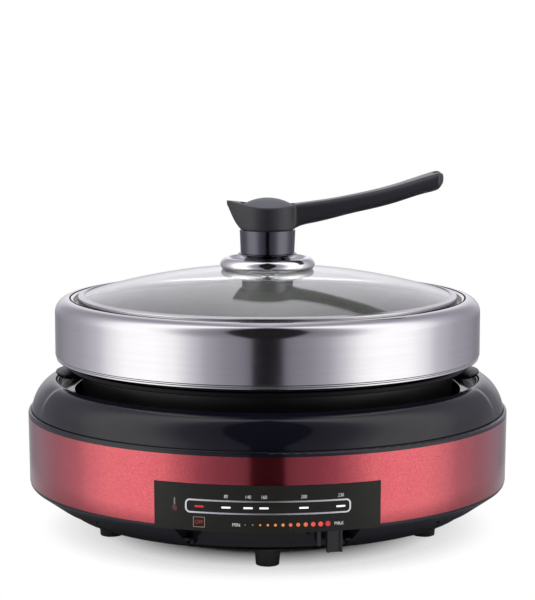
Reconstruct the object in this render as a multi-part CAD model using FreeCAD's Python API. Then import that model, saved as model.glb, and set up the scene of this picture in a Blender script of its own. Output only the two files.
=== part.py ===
"""Round electric hot pot: heating base, lift-out pot with a steel collar, glass lid with a long handle.

Millimetres, +Z up, origin on the table under the centre. -Y is the front with the control panel.
"""
import FreeCAD, Part
import math
import os

V = FreeCAD.Vector
UP = V(0, 0, 1)

# Clearances
seat_gap = 0.3
run_gap = 0.05
screw_gap = 0.05

# The size that the round parts follow
base_radius = 180.0

# Feet and lower tray
foot_height = 12.4
foot_radius = 9.2
foot_circle = base_radius - 58.0
foot_count = 5
foot_boss_radius = 6.5
foot_boss_height = 3.5
tray_wall = 2.5
tray_flat_radius = base_radius - 49.0
lip_radius = base_radius - 30.0
lip_rise = 4.9
step_radius = base_radius - 20.0
step_width = 1.2
step_rise = 6.7
flank_rise = 12.1
rim_rise = 2.9
rim_flange_height = 6.0
rim_flange_wall = 2.0

# Red band, trim ring and top cover
band_lean = 0.6
band_thickness = 0.8
band_height = 49.2
trim_height = 3.5
trim_depth = 3.4
trim_ledge = 1.2
cover_wall = 2.5
shoulder_rise = 16.8
shoulder_run = 27.2
opening_radius = base_radius - 35.0
opening_rim_depth = 6.4
opening_rim_wall = 2.2
scoop_radius = 250.0
scoop_inner = base_radius - 15.5
pillar_radius = 4.5
pillar_circle = base_radius - 14.0
pillar_count = 4
pillar_boss_wall = 1.6

# Lever recess and control panel
recess_radius = lip_radius - 0.6
recess_wall = 2.2
recess_half_deg = 20.7
recess_end_deg = 1.0
recess_lip = 1.1
recess_top = 38.0
recess_shelf = 1.8
recess_rib_deg = 0.45
slot_height = 3.1
panel_half_deg = 25.2
panel_bottom = 36.8
panel_height = 32.1
lamp_deg = -20.5
lamp_height = 51.5
lens_radius = 2.2

# Reflector dish and heater
dish_sheet = 0.8
dish_radius = opening_radius + 4.0
dish_flange = dish_radius + 9.0
dish_corner = 10.0
dish_floor = 47.2
dish_screw_circle = dish_radius + 4.5
element_radius = 3.3
element_outer = base_radius - 82.0
element_inner = element_outer - 28.0
element_gap_deg = 12.0
element_seam_deg = 60.0
element_leg = 22.0
bush_wall = 2.0
clip_width = 9.0
clip_sheet = 1.0

# Sensor and thermostat
sensor_radius = 11.1
sensor_travel = 3.0
sensor_length = 12.2
guide_wall = 1.75
guide_flange = 22.0
guide_floor = 1.2
guide_depth = 6.0
spring_wire = 0.7
spring_radius = 7.8
spring_turns = 5.5
bracket_half_length = 40.0
bracket_half_width = 13.0
bracket_sheet = 1.2
bracket_foot = 12.0
bracket_boss_radius = 5.0
bracket_boss_height = 5.1
thermostat_radius = 17.0
thermostat_height = 13.8
spindle_radius = 3.0
lever_level = 20.0
lever_sheet = 1.5
lever_width = 12.0
lever_rest_deg = 15.8
tab_width = 10.6
tab_front = base_radius - 11.5
tab_back = tab_front - 5.0
tab_bottom = 18.8

# Power inlet
inlet_height = 62.0
inlet_mouth_width = 24.8
inlet_mouth_height = 16.8
inlet_wall = 2.0
inlet_depth = 20.0
inlet_tab = 4.0
inlet_flange_width = 50.0
inlet_flange_height = 26.0
inlet_flange_sheet = 2.2
inlet_screw_spread = 20.0
pin_length = 16.0
lead_radius = 1.3
lead_spread = 9.0

# Pot
pan_floor = 64.0
pan_wall = 2.2
pan_flat_radius = opening_radius - 24.0
pan_corner = 18.0
pan_ledge_height = 169.5
pan_top_radius = opening_radius - 2.0
pan_ledge_radius = pan_top_radius + 4.6
ring_radius = pan_top_radius + 16.3
ring_bottom = 129.4
ring_round = 12.3
ring_top = 176.5
ring_sheet = 1.0
ring_hem = 2.7
carrier_bottom = 122.9
carrier_bead_radius = pan_top_radius + 6.6
carrier_neck_radius = carrier_bead_radius - 1.6
carrier_top = 136.0
ear_half_width = 36.0
ear_tip = ring_radius + 3.3
ear_bottom = 109.8
ear_plan_radius = 53.0
ear_screw_circle_x = carrier_bead_radius - 5.0
ear_screw_y = 18.0

# Lid
dome_top = 196.3
dome_drop = 22.14
glass_sheet = 3.0
glass_radius = pan_top_radius + 1.1
lid_rim_radius = glass_radius + 1.1
lid_rim_sheet = 1.0
vent_offset = 43.0
vent_hole = 2.0
vent_wall = 1.1
collar_radius = 35.5
collar_floor = 199.5
collar_sheet = 0.8
neck_radius = 17.3
stem_radius = 20.2
stem_top_radius = 20.9
stem_lip_radius = 21.7
stem_lip_height = 206.4
stem_top = 224.4
head_radius = 22.5
head_tip = 32.8
head_height = 25.6
cap_radius = 20.6
cap_seat = 239.2
cap_edge = 2.7
cap_crown = 6.5
knob_screw_radius = 2.0
knob_screw_head = 4.5
handle_root_half = 11.0
handle_end_half = 20.0
handle_end = 131.4
handle_notch = 9.0

# Wiring
block_y = base_radius - 80.0
block_half = 8.0
block_height = 13.0
fuse_circle = 60.0
fuse_y = 30.0

# Vents, sunk screws and lamp
vent_rows = 3
vent_slot_width = 4.0
vent_first_radius = 70.0
vent_pitch = 9.0
vent_half_deg = 15.0
pillar_boss_seat = 7.0
foot_bore = 4.4
foot_seat = 5.0
dish_screws_count = 4
dish_screw_deg = 20.0
lamp_holder_depth = 15.0

# Screws
screw_radius = 1.5
screw_head_radius = 3.6
screw_head_height = 2.4

# Sizes and levels that follow from those above
dome_radius = (glass_radius ** 2 + dome_drop ** 2) / (2 * dome_drop)
lip_level = foot_height + lip_rise
step_level = lip_level + step_rise
flank_level = step_level + flank_rise
band_bottom = flank_level + rim_rise
band_top = band_bottom + band_height
trim_top = band_top + trim_height
shoulder_top = trim_top + shoulder_rise
flange_radius = base_radius - band_lean - band_thickness - seat_gap
trim_bore = base_radius - band_thickness - seat_gap - 1.4
cover_radius = trim_bore - seat_gap
shoulder_centre = cover_radius - shoulder_run
inside_floor = foot_height + tray_wall
panel_back = flange_radius + 0.1
element_level = pan_floor - seat_gap - element_radius
dish_inside = dish_floor + dish_sheet
bridge_top = dish_inside - guide_depth - guide_floor - 0.2
slot_bottom = recess_top - slot_height
lever_high = slot_bottom + seat_gap


def outline(start, *steps):
    """Closed wire in the plane of radius and height: pairs are corners, "arc" and "curve" are round."""
    edges = []
    here = V(start[0], 0, start[1])
    for step in steps + (start,):
        if step[0] == "arc":
            via = V(step[1][0], 0, step[1][1])
            end = V(step[2][0], 0, step[2][1])
            edges.append(Part.Arc(here, via, end).toShape())
        elif step[0] == "curve":
            points = [here] + [V(r, 0, z) for r, z in step[1]]
            curve = Part.BSplineCurve()
            curve.interpolate(points)
            edges.append(curve.toShape())
            end = points[-1]
        else:
            end = V(step[0], 0, step[1])
            if here.distanceToPoint(end) < 1e-6:
                continue
            edges.append(Part.LineSegment(here, end).toShape())
        here = end
    return Part.Wire(edges)


def turned(start, *steps):
    """Solid of revolution about the vertical axis."""
    return Part.Face(outline(start, *steps)).revolve(V(), UP, 360)


def rod(radius, low, high, x=0.0, y=0.0):
    """Upright cylinder."""
    return Part.makeCylinder(radius, high - low, V(x, y, low))


def ring(outer, inner, low, high, x=0.0, y=0.0):
    """Upright tube."""
    return rod(outer, low, high, x, y).cut(rod(inner, low - 1, high + 1, x, y))


def block(x0, x1, y0, y1, z0, z1):
    """Box between two corners."""
    return Part.makeBox(x1 - x0, y1 - y0, z1 - z0, V(x0, y0, z0))


def spun(shape, degrees):
    """Copy turned about the vertical axis."""
    copy = shape.copy()
    copy.rotate(V(), UP, degrees)
    return copy


def front_sector(outer, inner, low, high, middle_deg, half_deg):
    """Piece of a tube, its middle at an angle from the front towards +X."""
    face = Part.Face(outline((inner, low), (outer, low), (outer, high), (inner, high)))
    return spun(face.revolve(V(), UP, 2 * half_deg), middle_deg - half_deg - 90)


def around(shape, count, first_deg):
    """Equal copies round the vertical axis."""
    return [spun(shape, first_deg + 360.0 * i / count) for i in range(count)]


def joined(shapes):
    """One solid from overlapping ones."""
    whole = shapes[0]
    for shape in shapes[1:]:
        whole = whole.fuse(shape)
    return whole.removeSplitter()


def without(shape, tools):
    """The shape less each tool."""
    for tool in tools:
        shape = shape.cut(tool)
    return shape


def screw(length, head=screw_head_radius, height=screw_head_height, radius=screw_radius):
    """Pan-head screw pointing up, the seat of its head at height zero, with a cross recess."""
    rim = head * 0.75
    body = turned((0, length), (0, -height), (rim, -height), ("arc", (head * 0.94, -height * 0.75), (head, 0)),
                  (radius, 0), (radius, length - radius), (0.3, length))
    arm = head * 0.6
    slot = radius * 0.35
    deep = -height + 1.0
    cross = [block(-arm, arm, -slot, slot, -height - 1, deep), block(-slot, slot, -arm, arm, -height - 1, deep)]
    return without(body, cross)


def moved(shape, x, y, z):
    """Copy shifted by an offset."""
    copy = shape.copy()
    copy.translate(V(x, y, z))
    return copy


def at_circle(shape, radius, z):
    """Copy set on a circle at the +X side."""
    return moved(shape, radius, 0, z)


def wall_path(points, wall):
    """Inner side of a bent wall: each straight run moved inwards, then met at the corners."""
    runs = []
    for (r0, z0), (r1, z1) in zip(points, points[1:]):
        length = math.hypot(r1 - r0, z1 - z0)
        dr, dz = (r1 - r0) / length, (z1 - z0) / length
        runs.append((r0 - dz * wall, z0 + dr * wall, dr, dz))
    path = [(points[0][0], points[0][1] + wall)]
    for (r0, z0, a, b), (r1, z1, c, d) in zip(runs, runs[1:]):
        along = ((r1 - r0) * d - (z1 - z0) * c) / (a * d - b * c)
        path.append((r0 + a * along, z0 + b * along))
    return path, runs[-1]


def ellipse_points(centre, run, base, rise, count=7):
    """Quarter ellipse from its widest point up to its top."""
    angles = [math.pi / 2 * i / count for i in range(1, count + 1)]
    return [(centre + run * math.cos(a), base + rise * math.sin(a)) for a in angles]


def tube_path(points, radius):
    """Round wire along straight runs joined by tangent arcs."""
    pts = [V(*p) for p in points]
    edges = []
    here = pts[0]
    for before, corner, after in zip(pts, pts[1:], pts[2:]):
        run_in = corner - before
        run_out = after - corner
        half = run_in.getAngle(run_out) / 2
        back = 0.45 * min(run_in.Length, run_out.Length)
        first = corner - run_in.normalize() * back
        last = corner + run_out.normalize() * back
        bend = back / math.tan(half)
        to_centre = (first + last) * 0.5 - corner
        reach = math.hypot(back, bend) - bend
        via = corner + to_centre.normalize() * reach
        edges.append(Part.LineSegment(here, first).toShape())
        edges.append(Part.Arc(first, via, last).toShape())
        here = last
    edges.append(Part.LineSegment(here, pts[-1]).toShape())
    spine = Part.Wire(edges)
    start = pts[1] - pts[0]
    section = Part.Wire([Part.Circle(pts[0], start, radius).toShape()])
    return spine.makePipeShell([section], True, False)


def export(name, *solids):
    """Write one node and say if a solid in it is faulty."""
    shape = solids[0] if len(solids) == 1 else Part.makeCompound(list(solids))
    if not shape.isValid() or not shape.Solids:
        print("faulty:", name)
    shape.exportStep("parts/" + name + ".step")


def tray_outer():
    """Outer line of the tray from its centre to the top of the flank."""
    return [(0, foot_height), (tray_flat_radius, foot_height), (lip_radius, lip_level),
            (step_radius, step_level), (step_radius + step_width, step_level),
            (flange_radius - 0.1, flank_level)]


def tray_shell():
    """Moulded bowl with a rim that carries the band and a flange that centres it."""
    outer = tray_outer()
    smooth = outer[:3] + [outer[-1]]
    inner, (r0, z0, dr, dz) = wall_path(smooth, tray_wall)
    flange_inside = flange_radius - rim_flange_wall
    meet = (flange_inside, z0 + (flange_inside - r0) * dz / dr)
    rim_edge = base_radius - band_lean - 0.4
    rim = [(rim_edge, flank_level + 1.1), (rim_edge, band_bottom), (flange_radius, band_bottom),
           (flange_radius, band_bottom + rim_flange_height), (flange_inside, band_bottom + rim_flange_height)]
    return turned(*outer, *rim, meet, *reversed(inner))


def tray_envelope():
    """Everything above the tray's outer line, up to its rim."""
    return turned(*tray_outer(), (flange_radius - 0.1, band_bottom + 2), (0, band_bottom + 2))


def recess_tools():
    """What the lever recess takes out of the front: the pocket and the arm's slot behind the panel."""
    pocket = front_sector(base_radius + 5, recess_radius, lip_level + recess_lip, recess_top, 0, recess_half_deg)
    slot = front_sector(recess_radius + 1, recess_radius - recess_wall - 1, slot_bottom, recess_top, 0,
                        recess_half_deg - 0.6)
    return [pocket, slot]


def recess_ribs():
    """Upright rib at each end of the recess, where the end wall meets the back wall."""
    middle = recess_half_deg - 0.9
    ribs = [front_sector(recess_radius + 4.5, recess_radius - 0.5, lip_level + 2.6, recess_top + 0.5, side * middle,
                         recess_rib_deg) for side in (-1, 1)]
    gussets = []
    for side in (-1, 1):
        web = front_sector(recess_radius + 13, recess_radius + 4, lip_level + 6.5, lip_level + 9.0,
                           side * (recess_half_deg - 0.5), 0.9)
        gussets.append(web)
    return ribs + gussets


def cover_boss_top():
    """Height where the tray's bosses meet the cover's pillars."""
    return band_bottom + rim_flange_height


def lower_tray():
    """Lower shell with bosses, vents, the lever recess and a place for the panel."""
    envelope = tray_envelope()
    walls = front_sector(flange_radius - 0.1, recess_radius - recess_wall, lip_level, recess_top + recess_shelf, 0,
                         recess_half_deg + recess_end_deg).common(envelope)
    foot_boss = at_circle(rod(foot_boss_radius, inside_floor - 0.5, inside_floor + foot_boss_height), foot_circle, 0)
    pillar_boss = at_circle(rod(screw_head_radius + seat_gap + pillar_boss_wall, lip_level, cover_boss_top()),
                            pillar_circle, 0).common(turned(*tray_outer(), (flange_radius, cover_boss_top() + 1),
                                                            (0, cover_boss_top() + 1)))
    bracket_boss = rod(bracket_boss_radius, inside_floor - 0.5, inside_floor + bracket_boss_height,
                       bracket_half_length + bracket_foot / 2)
    tray = joined([tray_shell(), walls] + around(foot_boss, foot_count, -90)
                  + around(pillar_boss, pillar_count, 45) + around(bracket_boss, 2, 0))
    tray = without(tray, recess_tools())
    tray = joined([tray] + [rib.common(envelope) for rib in recess_ribs()])
    holes = around(at_circle(rod(screw_radius + screw_gap, 0, inside_floor + foot_boss_height + 1), foot_circle, 0),
                   foot_count, -90)
    seat = cover_boss_top() - pillar_boss_seat
    holes += around(at_circle(rod(screw_head_radius + seat_gap, 0, seat), pillar_circle, 0), pillar_count, 45)
    holes += around(at_circle(rod(screw_radius + screw_gap, 0, cover_boss_top() + 1), pillar_circle, 0),
                    pillar_count, 45)
    holes += around(rod(screw_radius + screw_gap, inside_floor + 0.6, band_bottom, bracket_half_length
                        + bracket_foot / 2), 2, 0)
    panel_space = front_sector(base_radius + 5, panel_back - 0.1, panel_bottom - seat_gap, band_top, 0,
                               panel_half_deg + 0.2)
    return without(tray, holes + vent_slots() + [panel_space])


def vent_slots():
    """Rows of curved air slots in the tray's floor, one group between each two feet."""
    slots = []
    for row in range(vent_rows):
        inner = vent_first_radius + row * vent_pitch
        slot = front_sector(inner + vent_slot_width, inner, 0, inside_floor + 2, 0, vent_half_deg)
        slots += around(slot, foot_count, 180.0 / foot_count)
    return slots


def foot():
    """Rubber foot at the +X side, its screw sunk from below."""
    waist = foot_radius - 0.9
    body = turned((screw_radius + 0.2, foot_height), (screw_radius + 0.2, foot_seat), (foot_bore, foot_seat),
                  (foot_bore, 0), (waist - 0.6, 0), ("arc", (waist - 0.1, 0.3), (waist, 1.0)),
                  (foot_radius, foot_height))
    return at_circle(body, foot_circle, 0)


def red_band():
    """Painted steel sleeve with the panel's window and the inlet's openings."""
    bottom = base_radius - band_lean
    sleeve = turned((bottom - band_thickness, band_bottom), (bottom, band_bottom), (base_radius, band_top),
                    (base_radius - band_thickness, band_top))
    window = front_sector(base_radius + 5, base_radius - 10, 0, panel_bottom + panel_height + 0.15, 0,
                          panel_half_deg + 0.1)
    half_w = inlet_mouth_width / 2 + inlet_wall + seat_gap
    half_h = inlet_mouth_height / 2 + inlet_wall + seat_gap
    mouth = block(-half_w, half_w, base_radius - 15, base_radius + 5, inlet_height - half_h, inlet_height + half_h)
    holes = [Part.makeCylinder(screw_head_radius + 0.2, 20, V(side * inlet_screw_spread, base_radius - 15,
             inlet_height), V(0, 1, 0)) for side in (-1, 1)]
    return without(sleeve, [window, mouth] + holes)


def trim_ring():
    """Black ring that caps the band and carries the cover's skirt on its inner ledge."""
    crest = trim_bore + 0.8
    lip = base_radius - band_thickness - seat_gap
    edge = base_radius - 0.1
    ledge = trim_bore - cover_wall - seat_gap
    low = band_top - trim_depth
    return turned((ledge, low), (lip, low), (lip, band_top), (edge, band_top), (edge, band_top + 2.0),
                  ("arc", (edge - 0.5, trim_top - 0.4), (crest, trim_top)), (trim_bore, trim_top - 0.6),
                  (trim_bore, low + trim_ledge), (ledge, low + trim_ledge))


def scoop_ball(extra):
    """Large ball whose shallow slice is the finger scoop at the +X side."""
    r0, z0 = scoop_inner, shoulder_top
    r1, z1 = cover_radius + 0.3, trim_top + 1.2
    chord = math.hypot(r1 - r0, z1 - z0)
    out_r, out_z = (z0 - z1) / chord, (r1 - r0) / chord
    reach = math.sqrt(scoop_radius ** 2 - chord ** 2 / 4)
    centre = V((r0 + r1) / 2 + out_r * reach, 0, (z0 + z1) / 2 + out_z * reach)
    return Part.makeSphere(scoop_radius + extra, centre)


def cover_inside():
    """Filled shape of the cover's inner side."""
    inside = turned((0, trim_top - 12), (cover_radius - cover_wall, trim_top - 12),
                    (cover_radius - cover_wall, trim_top),
                    ("curve", ellipse_points(shoulder_centre, shoulder_run - cover_wall, trim_top,
                                             shoulder_rise - cover_wall)),
                    (0, shoulder_top - cover_wall))
    balls = [scoop_ball(cover_wall), spun(scoop_ball(cover_wall), 180)]
    return without(inside, balls)


def top_cover():
    """Moulded shoulder: its bulge, the finger scoops, the opening's rim, pillars and screw bosses."""
    skirt = band_top - trim_depth + trim_ledge
    outside = turned((0, skirt), (cover_radius, skirt), (cover_radius, trim_top),
                     ("curve", ellipse_points(shoulder_centre, shoulder_run, trim_top, shoulder_rise)),
                     (opening_radius + 2.2, shoulder_top),
                     ("arc", (opening_radius + 1.2, shoulder_top + 0.5), (opening_radius + 0.4, shoulder_top + 0.1)),
                     (0, shoulder_top + 0.1))
    outside = without(outside, [scoop_ball(0), spun(scoop_ball(0), 180)])
    rim_low = shoulder_top - opening_rim_depth
    rim = ring(opening_radius + opening_rim_wall, opening_radius - 1, rim_low, shoulder_top - 0.5)
    pillar = at_circle(rod(pillar_radius, cover_boss_top(), shoulder_top), pillar_circle, 0)
    dish_boss = at_circle(rod(screw_radius + 2.6, rim_low - seat_gap, shoulder_top - 1), dish_screw_circle, 0)
    fillers = around(pillar, pillar_count, 45) + around(dish_boss, dish_screws_count, dish_screw_deg)
    shell = outside.cut(cover_inside())
    solid_inside = turned((0, 0), (cover_radius - 1, 0), (cover_radius - 1, trim_top),
                          ("curve", ellipse_points(shoulder_centre, shoulder_run - 1, trim_top, shoulder_rise - 1)),
                          (0, shoulder_top - 1))
    cover = joined([shell, rim] + [piece.common(solid_inside) for piece in fillers])
    bore = rod(opening_radius, 0, shoulder_top + 5)
    holes = around(at_circle(rod(screw_radius + screw_gap, 0, cover_boss_top() + 13), pillar_circle, 0),
                   pillar_count, 45)
    holes += around(at_circle(rod(screw_radius + screw_gap, 0, rim_low + 3.2), dish_screw_circle, 0),
                    dish_screws_count, dish_screw_deg)
    return without(cover, [bore] + holes)


def control_panel():
    """Curved panel set into the band, with the pilot lamp's hole."""
    plate = front_sector(base_radius, panel_back, panel_bottom, panel_bottom + panel_height, 0, panel_half_deg)
    hole = Part.makeCylinder(lens_radius + 0.1, 20, V(0, 0, lamp_height), V(0, -1, 0))
    hole = spun(moved(hole, 0, -base_radius + 10, 0), lamp_deg)
    return plate.cut(hole)


def lamp_lens():
    """Clear plug of the pilot lamp, seated in the panel."""
    body = Part.makeCylinder(lens_radius, base_radius - panel_back + 0.8, V(0, -panel_back + 0.8, lamp_height),
                             V(0, -1, 0))
    skin = rod(base_radius - 0.05, 0, band_top)
    return spun(body.common(skin), lamp_deg)


def lamp_holder():
    """Moulded cup behind the panel that sits on the tray's flange and holds the lamp."""
    cup = front_sector(panel_back - 0.3, panel_back - lamp_holder_depth, cover_boss_top(), lamp_height + 6.0,
                       lamp_deg, 1.9)
    bore = Part.makeCylinder(lens_radius + 0.3, lamp_holder_depth - 2, V(0, -panel_back - 1, lamp_height),
                             V(0, 1, 0))
    return cup.cut(spun(bore, lamp_deg))


def pilot_lamp():
    """Small glass lamp inside its holder."""
    body = Part.makeCylinder(lens_radius, lamp_holder_depth - 4.5, V(0, -panel_back + 1.1, lamp_height), V(0, 1, 0))
    return spun(body, lamp_deg)


def reflector_dish():
    """Bright steel dish: the well's wall, its floor, and the holes for heater legs and sensor."""
    inner = dish_radius - dish_sheet
    corner = dish_radius - dish_corner
    bend = math.sqrt(0.5)
    top = shoulder_top - opening_rim_depth - seat_gap
    outer_mid = (corner + dish_corner * bend, dish_floor + dish_corner * (1 - bend))
    small = dish_corner - dish_sheet
    inner_mid = (corner + small * bend, dish_inside + small * (1 - bend))
    bore = sensor_radius + run_gap + guide_wall + seat_gap
    dish = turned((bore, dish_floor), (corner, dish_floor), ("arc", outer_mid, (dish_radius, dish_floor + dish_corner)),
                  (dish_radius, top - dish_sheet), (dish_flange, top - dish_sheet), (dish_flange, top), (inner, top),
                  (inner, dish_floor + dish_corner), ("arc", inner_mid, (corner, dish_inside)), (bore, dish_inside))
    holes = [rod(element_radius + bush_wall, 0, element_level, *p) for p in element_legs()]
    holes += around(at_circle(rod(screw_radius + screw_gap, band_top, shoulder_top), dish_screw_circle, 0),
                    dish_screws_count, dish_screw_deg)
    return without(dish, holes)


def element_legs():
    """Where the heater's two ends go down through the dish."""
    angle = math.radians(element_seam_deg + element_gap_deg)
    return [(r * math.cos(angle), r * math.sin(angle)) for r in (element_outer, element_inner)]


def heater_element():
    """Tubular heater: one run out and round, a hairpin, one run back, and two legs turned down."""
    start = math.radians(element_seam_deg + element_gap_deg)
    stop = math.radians(element_seam_deg - element_gap_deg + 360)
    middle = (start + stop) / 2

    def spot(radius, angle, z=element_level):
        return V(radius * math.cos(angle), radius * math.sin(angle), z)

    bend = element_radius * 2
    tilt = [(element_outer, 1), (element_inner, -1)]
    edges = []
    legs = []
    for radius, way in tilt:
        lead = bend / radius
        knee_end = spot(radius, start + lead)
        centre_z = element_level - bend
        knee_start = spot(radius, start, centre_z)
        mid_turn = spot(radius, start + lead * (1 - math.sqrt(0.5)), centre_z + bend * math.sqrt(0.5))
        leg = Part.LineSegment(spot(radius, start, element_level - element_leg), knee_start).toShape()
        legs.append((leg, Part.Arc(knee_start, mid_turn, knee_end).toShape(), knee_end, radius))
    outer_leg, outer_knee, outer_start, _ = legs[0]
    inner_leg, inner_knee, inner_start, _ = legs[1]
    outer_arc = Part.Arc(outer_start, spot(element_outer, middle), spot(element_outer, stop)).toShape()
    inner_arc = Part.Arc(spot(element_inner, stop), spot(element_inner, middle), inner_start).toShape()
    half = (element_outer - element_inner) / 2
    centre = spot(element_inner + half, stop)
    ahead = V(-math.sin(stop), math.cos(stop), 0) * half
    hairpin = Part.Arc(spot(element_outer, stop), centre + ahead, spot(element_inner, stop)).toShape()
    spine = Part.Wire([outer_leg, outer_knee, outer_arc, hairpin, inner_arc, inner_knee, inner_leg])
    foot_point = spot(element_outer, start, element_level - element_leg)
    section = Part.Wire([Part.Circle(foot_point, UP, element_radius).toShape()])
    return spine.makePipeShell([section], True, False)


def element_bushes():
    """Ceramic bush round each heater leg, its flange on the dish."""
    bushes = []
    for x, y in element_legs():
        tube = ring(element_radius + bush_wall - 0.2, element_radius + 0.2, dish_floor - 3, dish_inside + 1.5, x, y)
        flange = ring(element_radius + bush_wall + 1.5, element_radius + 0.2, dish_inside, dish_inside + 1.5, x, y)
        bushes.append(tube.fuse(flange).removeSplitter())
    return bushes


def element_clips():
    """Bent saddles that stand on the dish under both runs of the heater."""
    low, high = dish_inside, element_level - element_radius
    inner = element_inner - clip_width
    outer = element_outer + clip_width
    half = clip_width / 2
    frame = block(inner, outer, -half, half, low, high).cut(
        block(inner + clip_sheet, outer - clip_sheet, -half - 1, half + 1, low - 1, high - clip_sheet))
    feet = block(inner - 6, inner + 0.1, -half, half, low, low + clip_sheet).fuse(
        block(outer - 0.1, outer + 6, -half, half, low, low + clip_sheet))
    clip = frame.fuse(feet).removeSplitter()
    return around(clip, 3, element_seam_deg + 70)


def sensor_guide():
    """Sleeve in the dish that lets the sensor cap slide upright."""
    bore = sensor_radius + run_gap
    outer = bore + guide_wall
    floor_top = dish_inside - guide_depth
    low = floor_top - guide_floor
    top = pan_floor - seat_gap - sensor_travel * 2
    return turned((3.0, low), (outer, low), (outer, dish_inside), (guide_flange, dish_inside),
                  (guide_flange, dish_inside + 1.2), (outer, dish_inside + 1.2), (outer, top), (bore, top),
                  (bore, floor_top), (3.0, floor_top))


def sensor_plunger():
    """Pressed metal cap that touches the pan's underside."""
    top = pan_floor - seat_gap
    low = top - sensor_length
    skin = 1.0
    return turned((0, top), (0, top - 1.4), (sensor_radius - skin, top - 1.4), (sensor_radius - skin, low),
                  (sensor_radius, low), (sensor_radius, top - 0.8),
                  ("arc", (sensor_radius - 0.24, top - 0.24), (sensor_radius - 0.8, top)))


def sensor_spring():
    """Round-wire compression spring between the guide's floor and the cap."""
    low = dish_inside - guide_depth + spring_wire + 0.1
    high = pan_floor - seat_gap - 1.4 - spring_wire - 0.1
    pitch = (high - low) / spring_turns
    helix = Part.makeHelix(pitch, high - low, spring_radius)
    start = V(spring_radius, 0, 0)
    slope = V(0, spring_radius, pitch / (2 * math.pi))
    section = Part.Wire([Part.Circle(start, slope, spring_wire).toShape()])
    coil = Part.Wire(helix).makePipeShell([section], True, True)
    coil.translate(V(0, 0, low))
    return coil


def thermostat_bracket():
    """Bent strap over the thermostat, its feet on two bosses of the tray."""
    foot_top = inside_floor + bracket_boss_height + bracket_sheet
    length, width, sheet = bracket_half_length, bracket_half_width, bracket_sheet
    bridge = block(-length, length, -width, width, bridge_top - sheet, bridge_top)
    legs = [block(side * (length - sheet / 2) - sheet / 2, side * (length - sheet / 2) + sheet / 2, -width, width,
                  foot_top - sheet, bridge_top) for side in (-1, 1)]
    foot_plate = block(length - sheet, length + bracket_foot, -width, width, foot_top - sheet, foot_top)
    strap = joined([bridge] + legs + around(foot_plate, 2, 0))
    holes = around(rod(screw_radius + screw_gap, 0, bridge_top, length + bracket_foot / 2), 2, 0)
    return without(strap, holes + [rod(spindle_radius + 1, bridge_top - 2 * sheet, bridge_top + 1)])


def thermostat_body():
    """Round ceramic body under the strap, with flats, a collar for the spindle and two tabs."""
    top = bridge_top - bracket_sheet
    low = top - thermostat_height
    body = rod(thermostat_radius, low, top).fuse(rod(6.0, low - 2.0, low + 1))
    flats = [block(-30, 30, side * (thermostat_radius - 2.5), side * (thermostat_radius - 2.5) + side * 20, low, top)
             if side > 0 else block(-30, 30, -thermostat_radius - 20, -thermostat_radius + 2.5, low, top)
             for side in (-1, 1)]
    body = without(body, flats + [rod(spindle_radius + run_gap, low - 3, low + 4.2)])
    tabs = [block(side * 9 - 3, side * 9 + 3, thermostat_radius - 3, thermostat_radius + 9, low + 4, low + 4.8)
            for side in (-1, 1)]
    return joined([body] + tabs)


def spindle():
    """Thermostat spindle with the shoulder that the lever arm is clamped against."""
    body_low = bridge_top - bracket_sheet - thermostat_height
    collar_top = body_low - 2.0 - 0.4
    arm_top = lever_level + lever_sheet
    return turned((0, lever_level - 2.2), (spindle_radius, lever_level - 2.2), (spindle_radius, arm_top),
                  (5.0, arm_top), (5.0, collar_top), (spindle_radius, collar_top), (spindle_radius, body_low + 4.0),
                  (0, body_low + 4.0))


def spindle_clip():
    """Spring clip under the arm."""
    clip = ring(6.2, spindle_radius + 0.02, lever_level - 1.2, lever_level)
    return clip.cut(block(-1.6, 1.6, 0, 10, 0, lever_level + 1))


def lever_arm():
    """Cranked steel strip from the spindle to the tab, through the slot over the recess wall."""
    rise_start = recess_radius - 32
    rise_end = rise_start + (lever_high - lever_level)
    end = tab_front - 1.8
    sheet = lever_sheet
    low = [(0, lever_level), (rise_start, lever_level), (rise_end, lever_high), (end, lever_high)]
    bend = sheet * math.tan(math.pi / 8)
    high = [(end, lever_high + sheet), (rise_end - bend, lever_high + sheet),
            (rise_start - bend, lever_level + sheet), (0, lever_level + sheet)]
    points = [V(0, -r, z) for r, z in low + high]
    face = Part.Face(Part.makePolygon(points + points[:1]))
    strip = face.extrude(V(lever_width, 0, 0))
    strip.translate(V(-lever_width / 2, 0, 0))
    hub = rod(lever_width * 0.75, lever_level, lever_level + sheet)
    arm = strip.fuse(hub).removeSplitter().cut(rod(spindle_radius + 0.02, 0, lever_high))
    return spun(arm, lever_rest_deg)


def lever_tab():
    """Moulded thumb tab: plate with raised side edges and a slim stop rib beside it."""
    top = recess_top - seat_gap
    half = tab_width / 2
    plate = block(-half, half, -tab_front, -tab_back, tab_bottom, top)
    hollow = block(-half + 1.5, half - 1.5, -tab_front - 1, -tab_front + 1.1, tab_bottom - 1, slot_bottom)
    foot_cut = block(-half - 1, half + 1, -tab_back - 2.0, -tab_back + 1, tab_bottom - 1, tab_bottom + 5)
    rib_x = -half - 5.6
    rib = block(rib_x - 1.3, rib_x + 1.3, -tab_front + 1.5, -tab_back - 0.6, tab_bottom + 4.5, top)
    rib = rib.makeFillet(1.0, [e for e in rib.Edges if abs(e.CenterOfMass.z - tab_bottom - 4.5) < 0.01
                               and e.Length > 2.65])
    bridge = block(rib_x - 1.3, -half + 1, -tab_front + 1.5, -tab_back, slot_bottom, top)
    tab = joined([without(plate, [hollow, foot_cut]), rib, bridge])
    return spun(tab, lever_rest_deg).cut(lever_arm())


def thermal_fuse():
    """Sealed fuse held against the dish's underside."""
    return Part.makeCylinder(2.0, 12, V(-fuse_circle - 6, fuse_y, dish_floor - 2.1), V(1, 0, 0))


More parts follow.
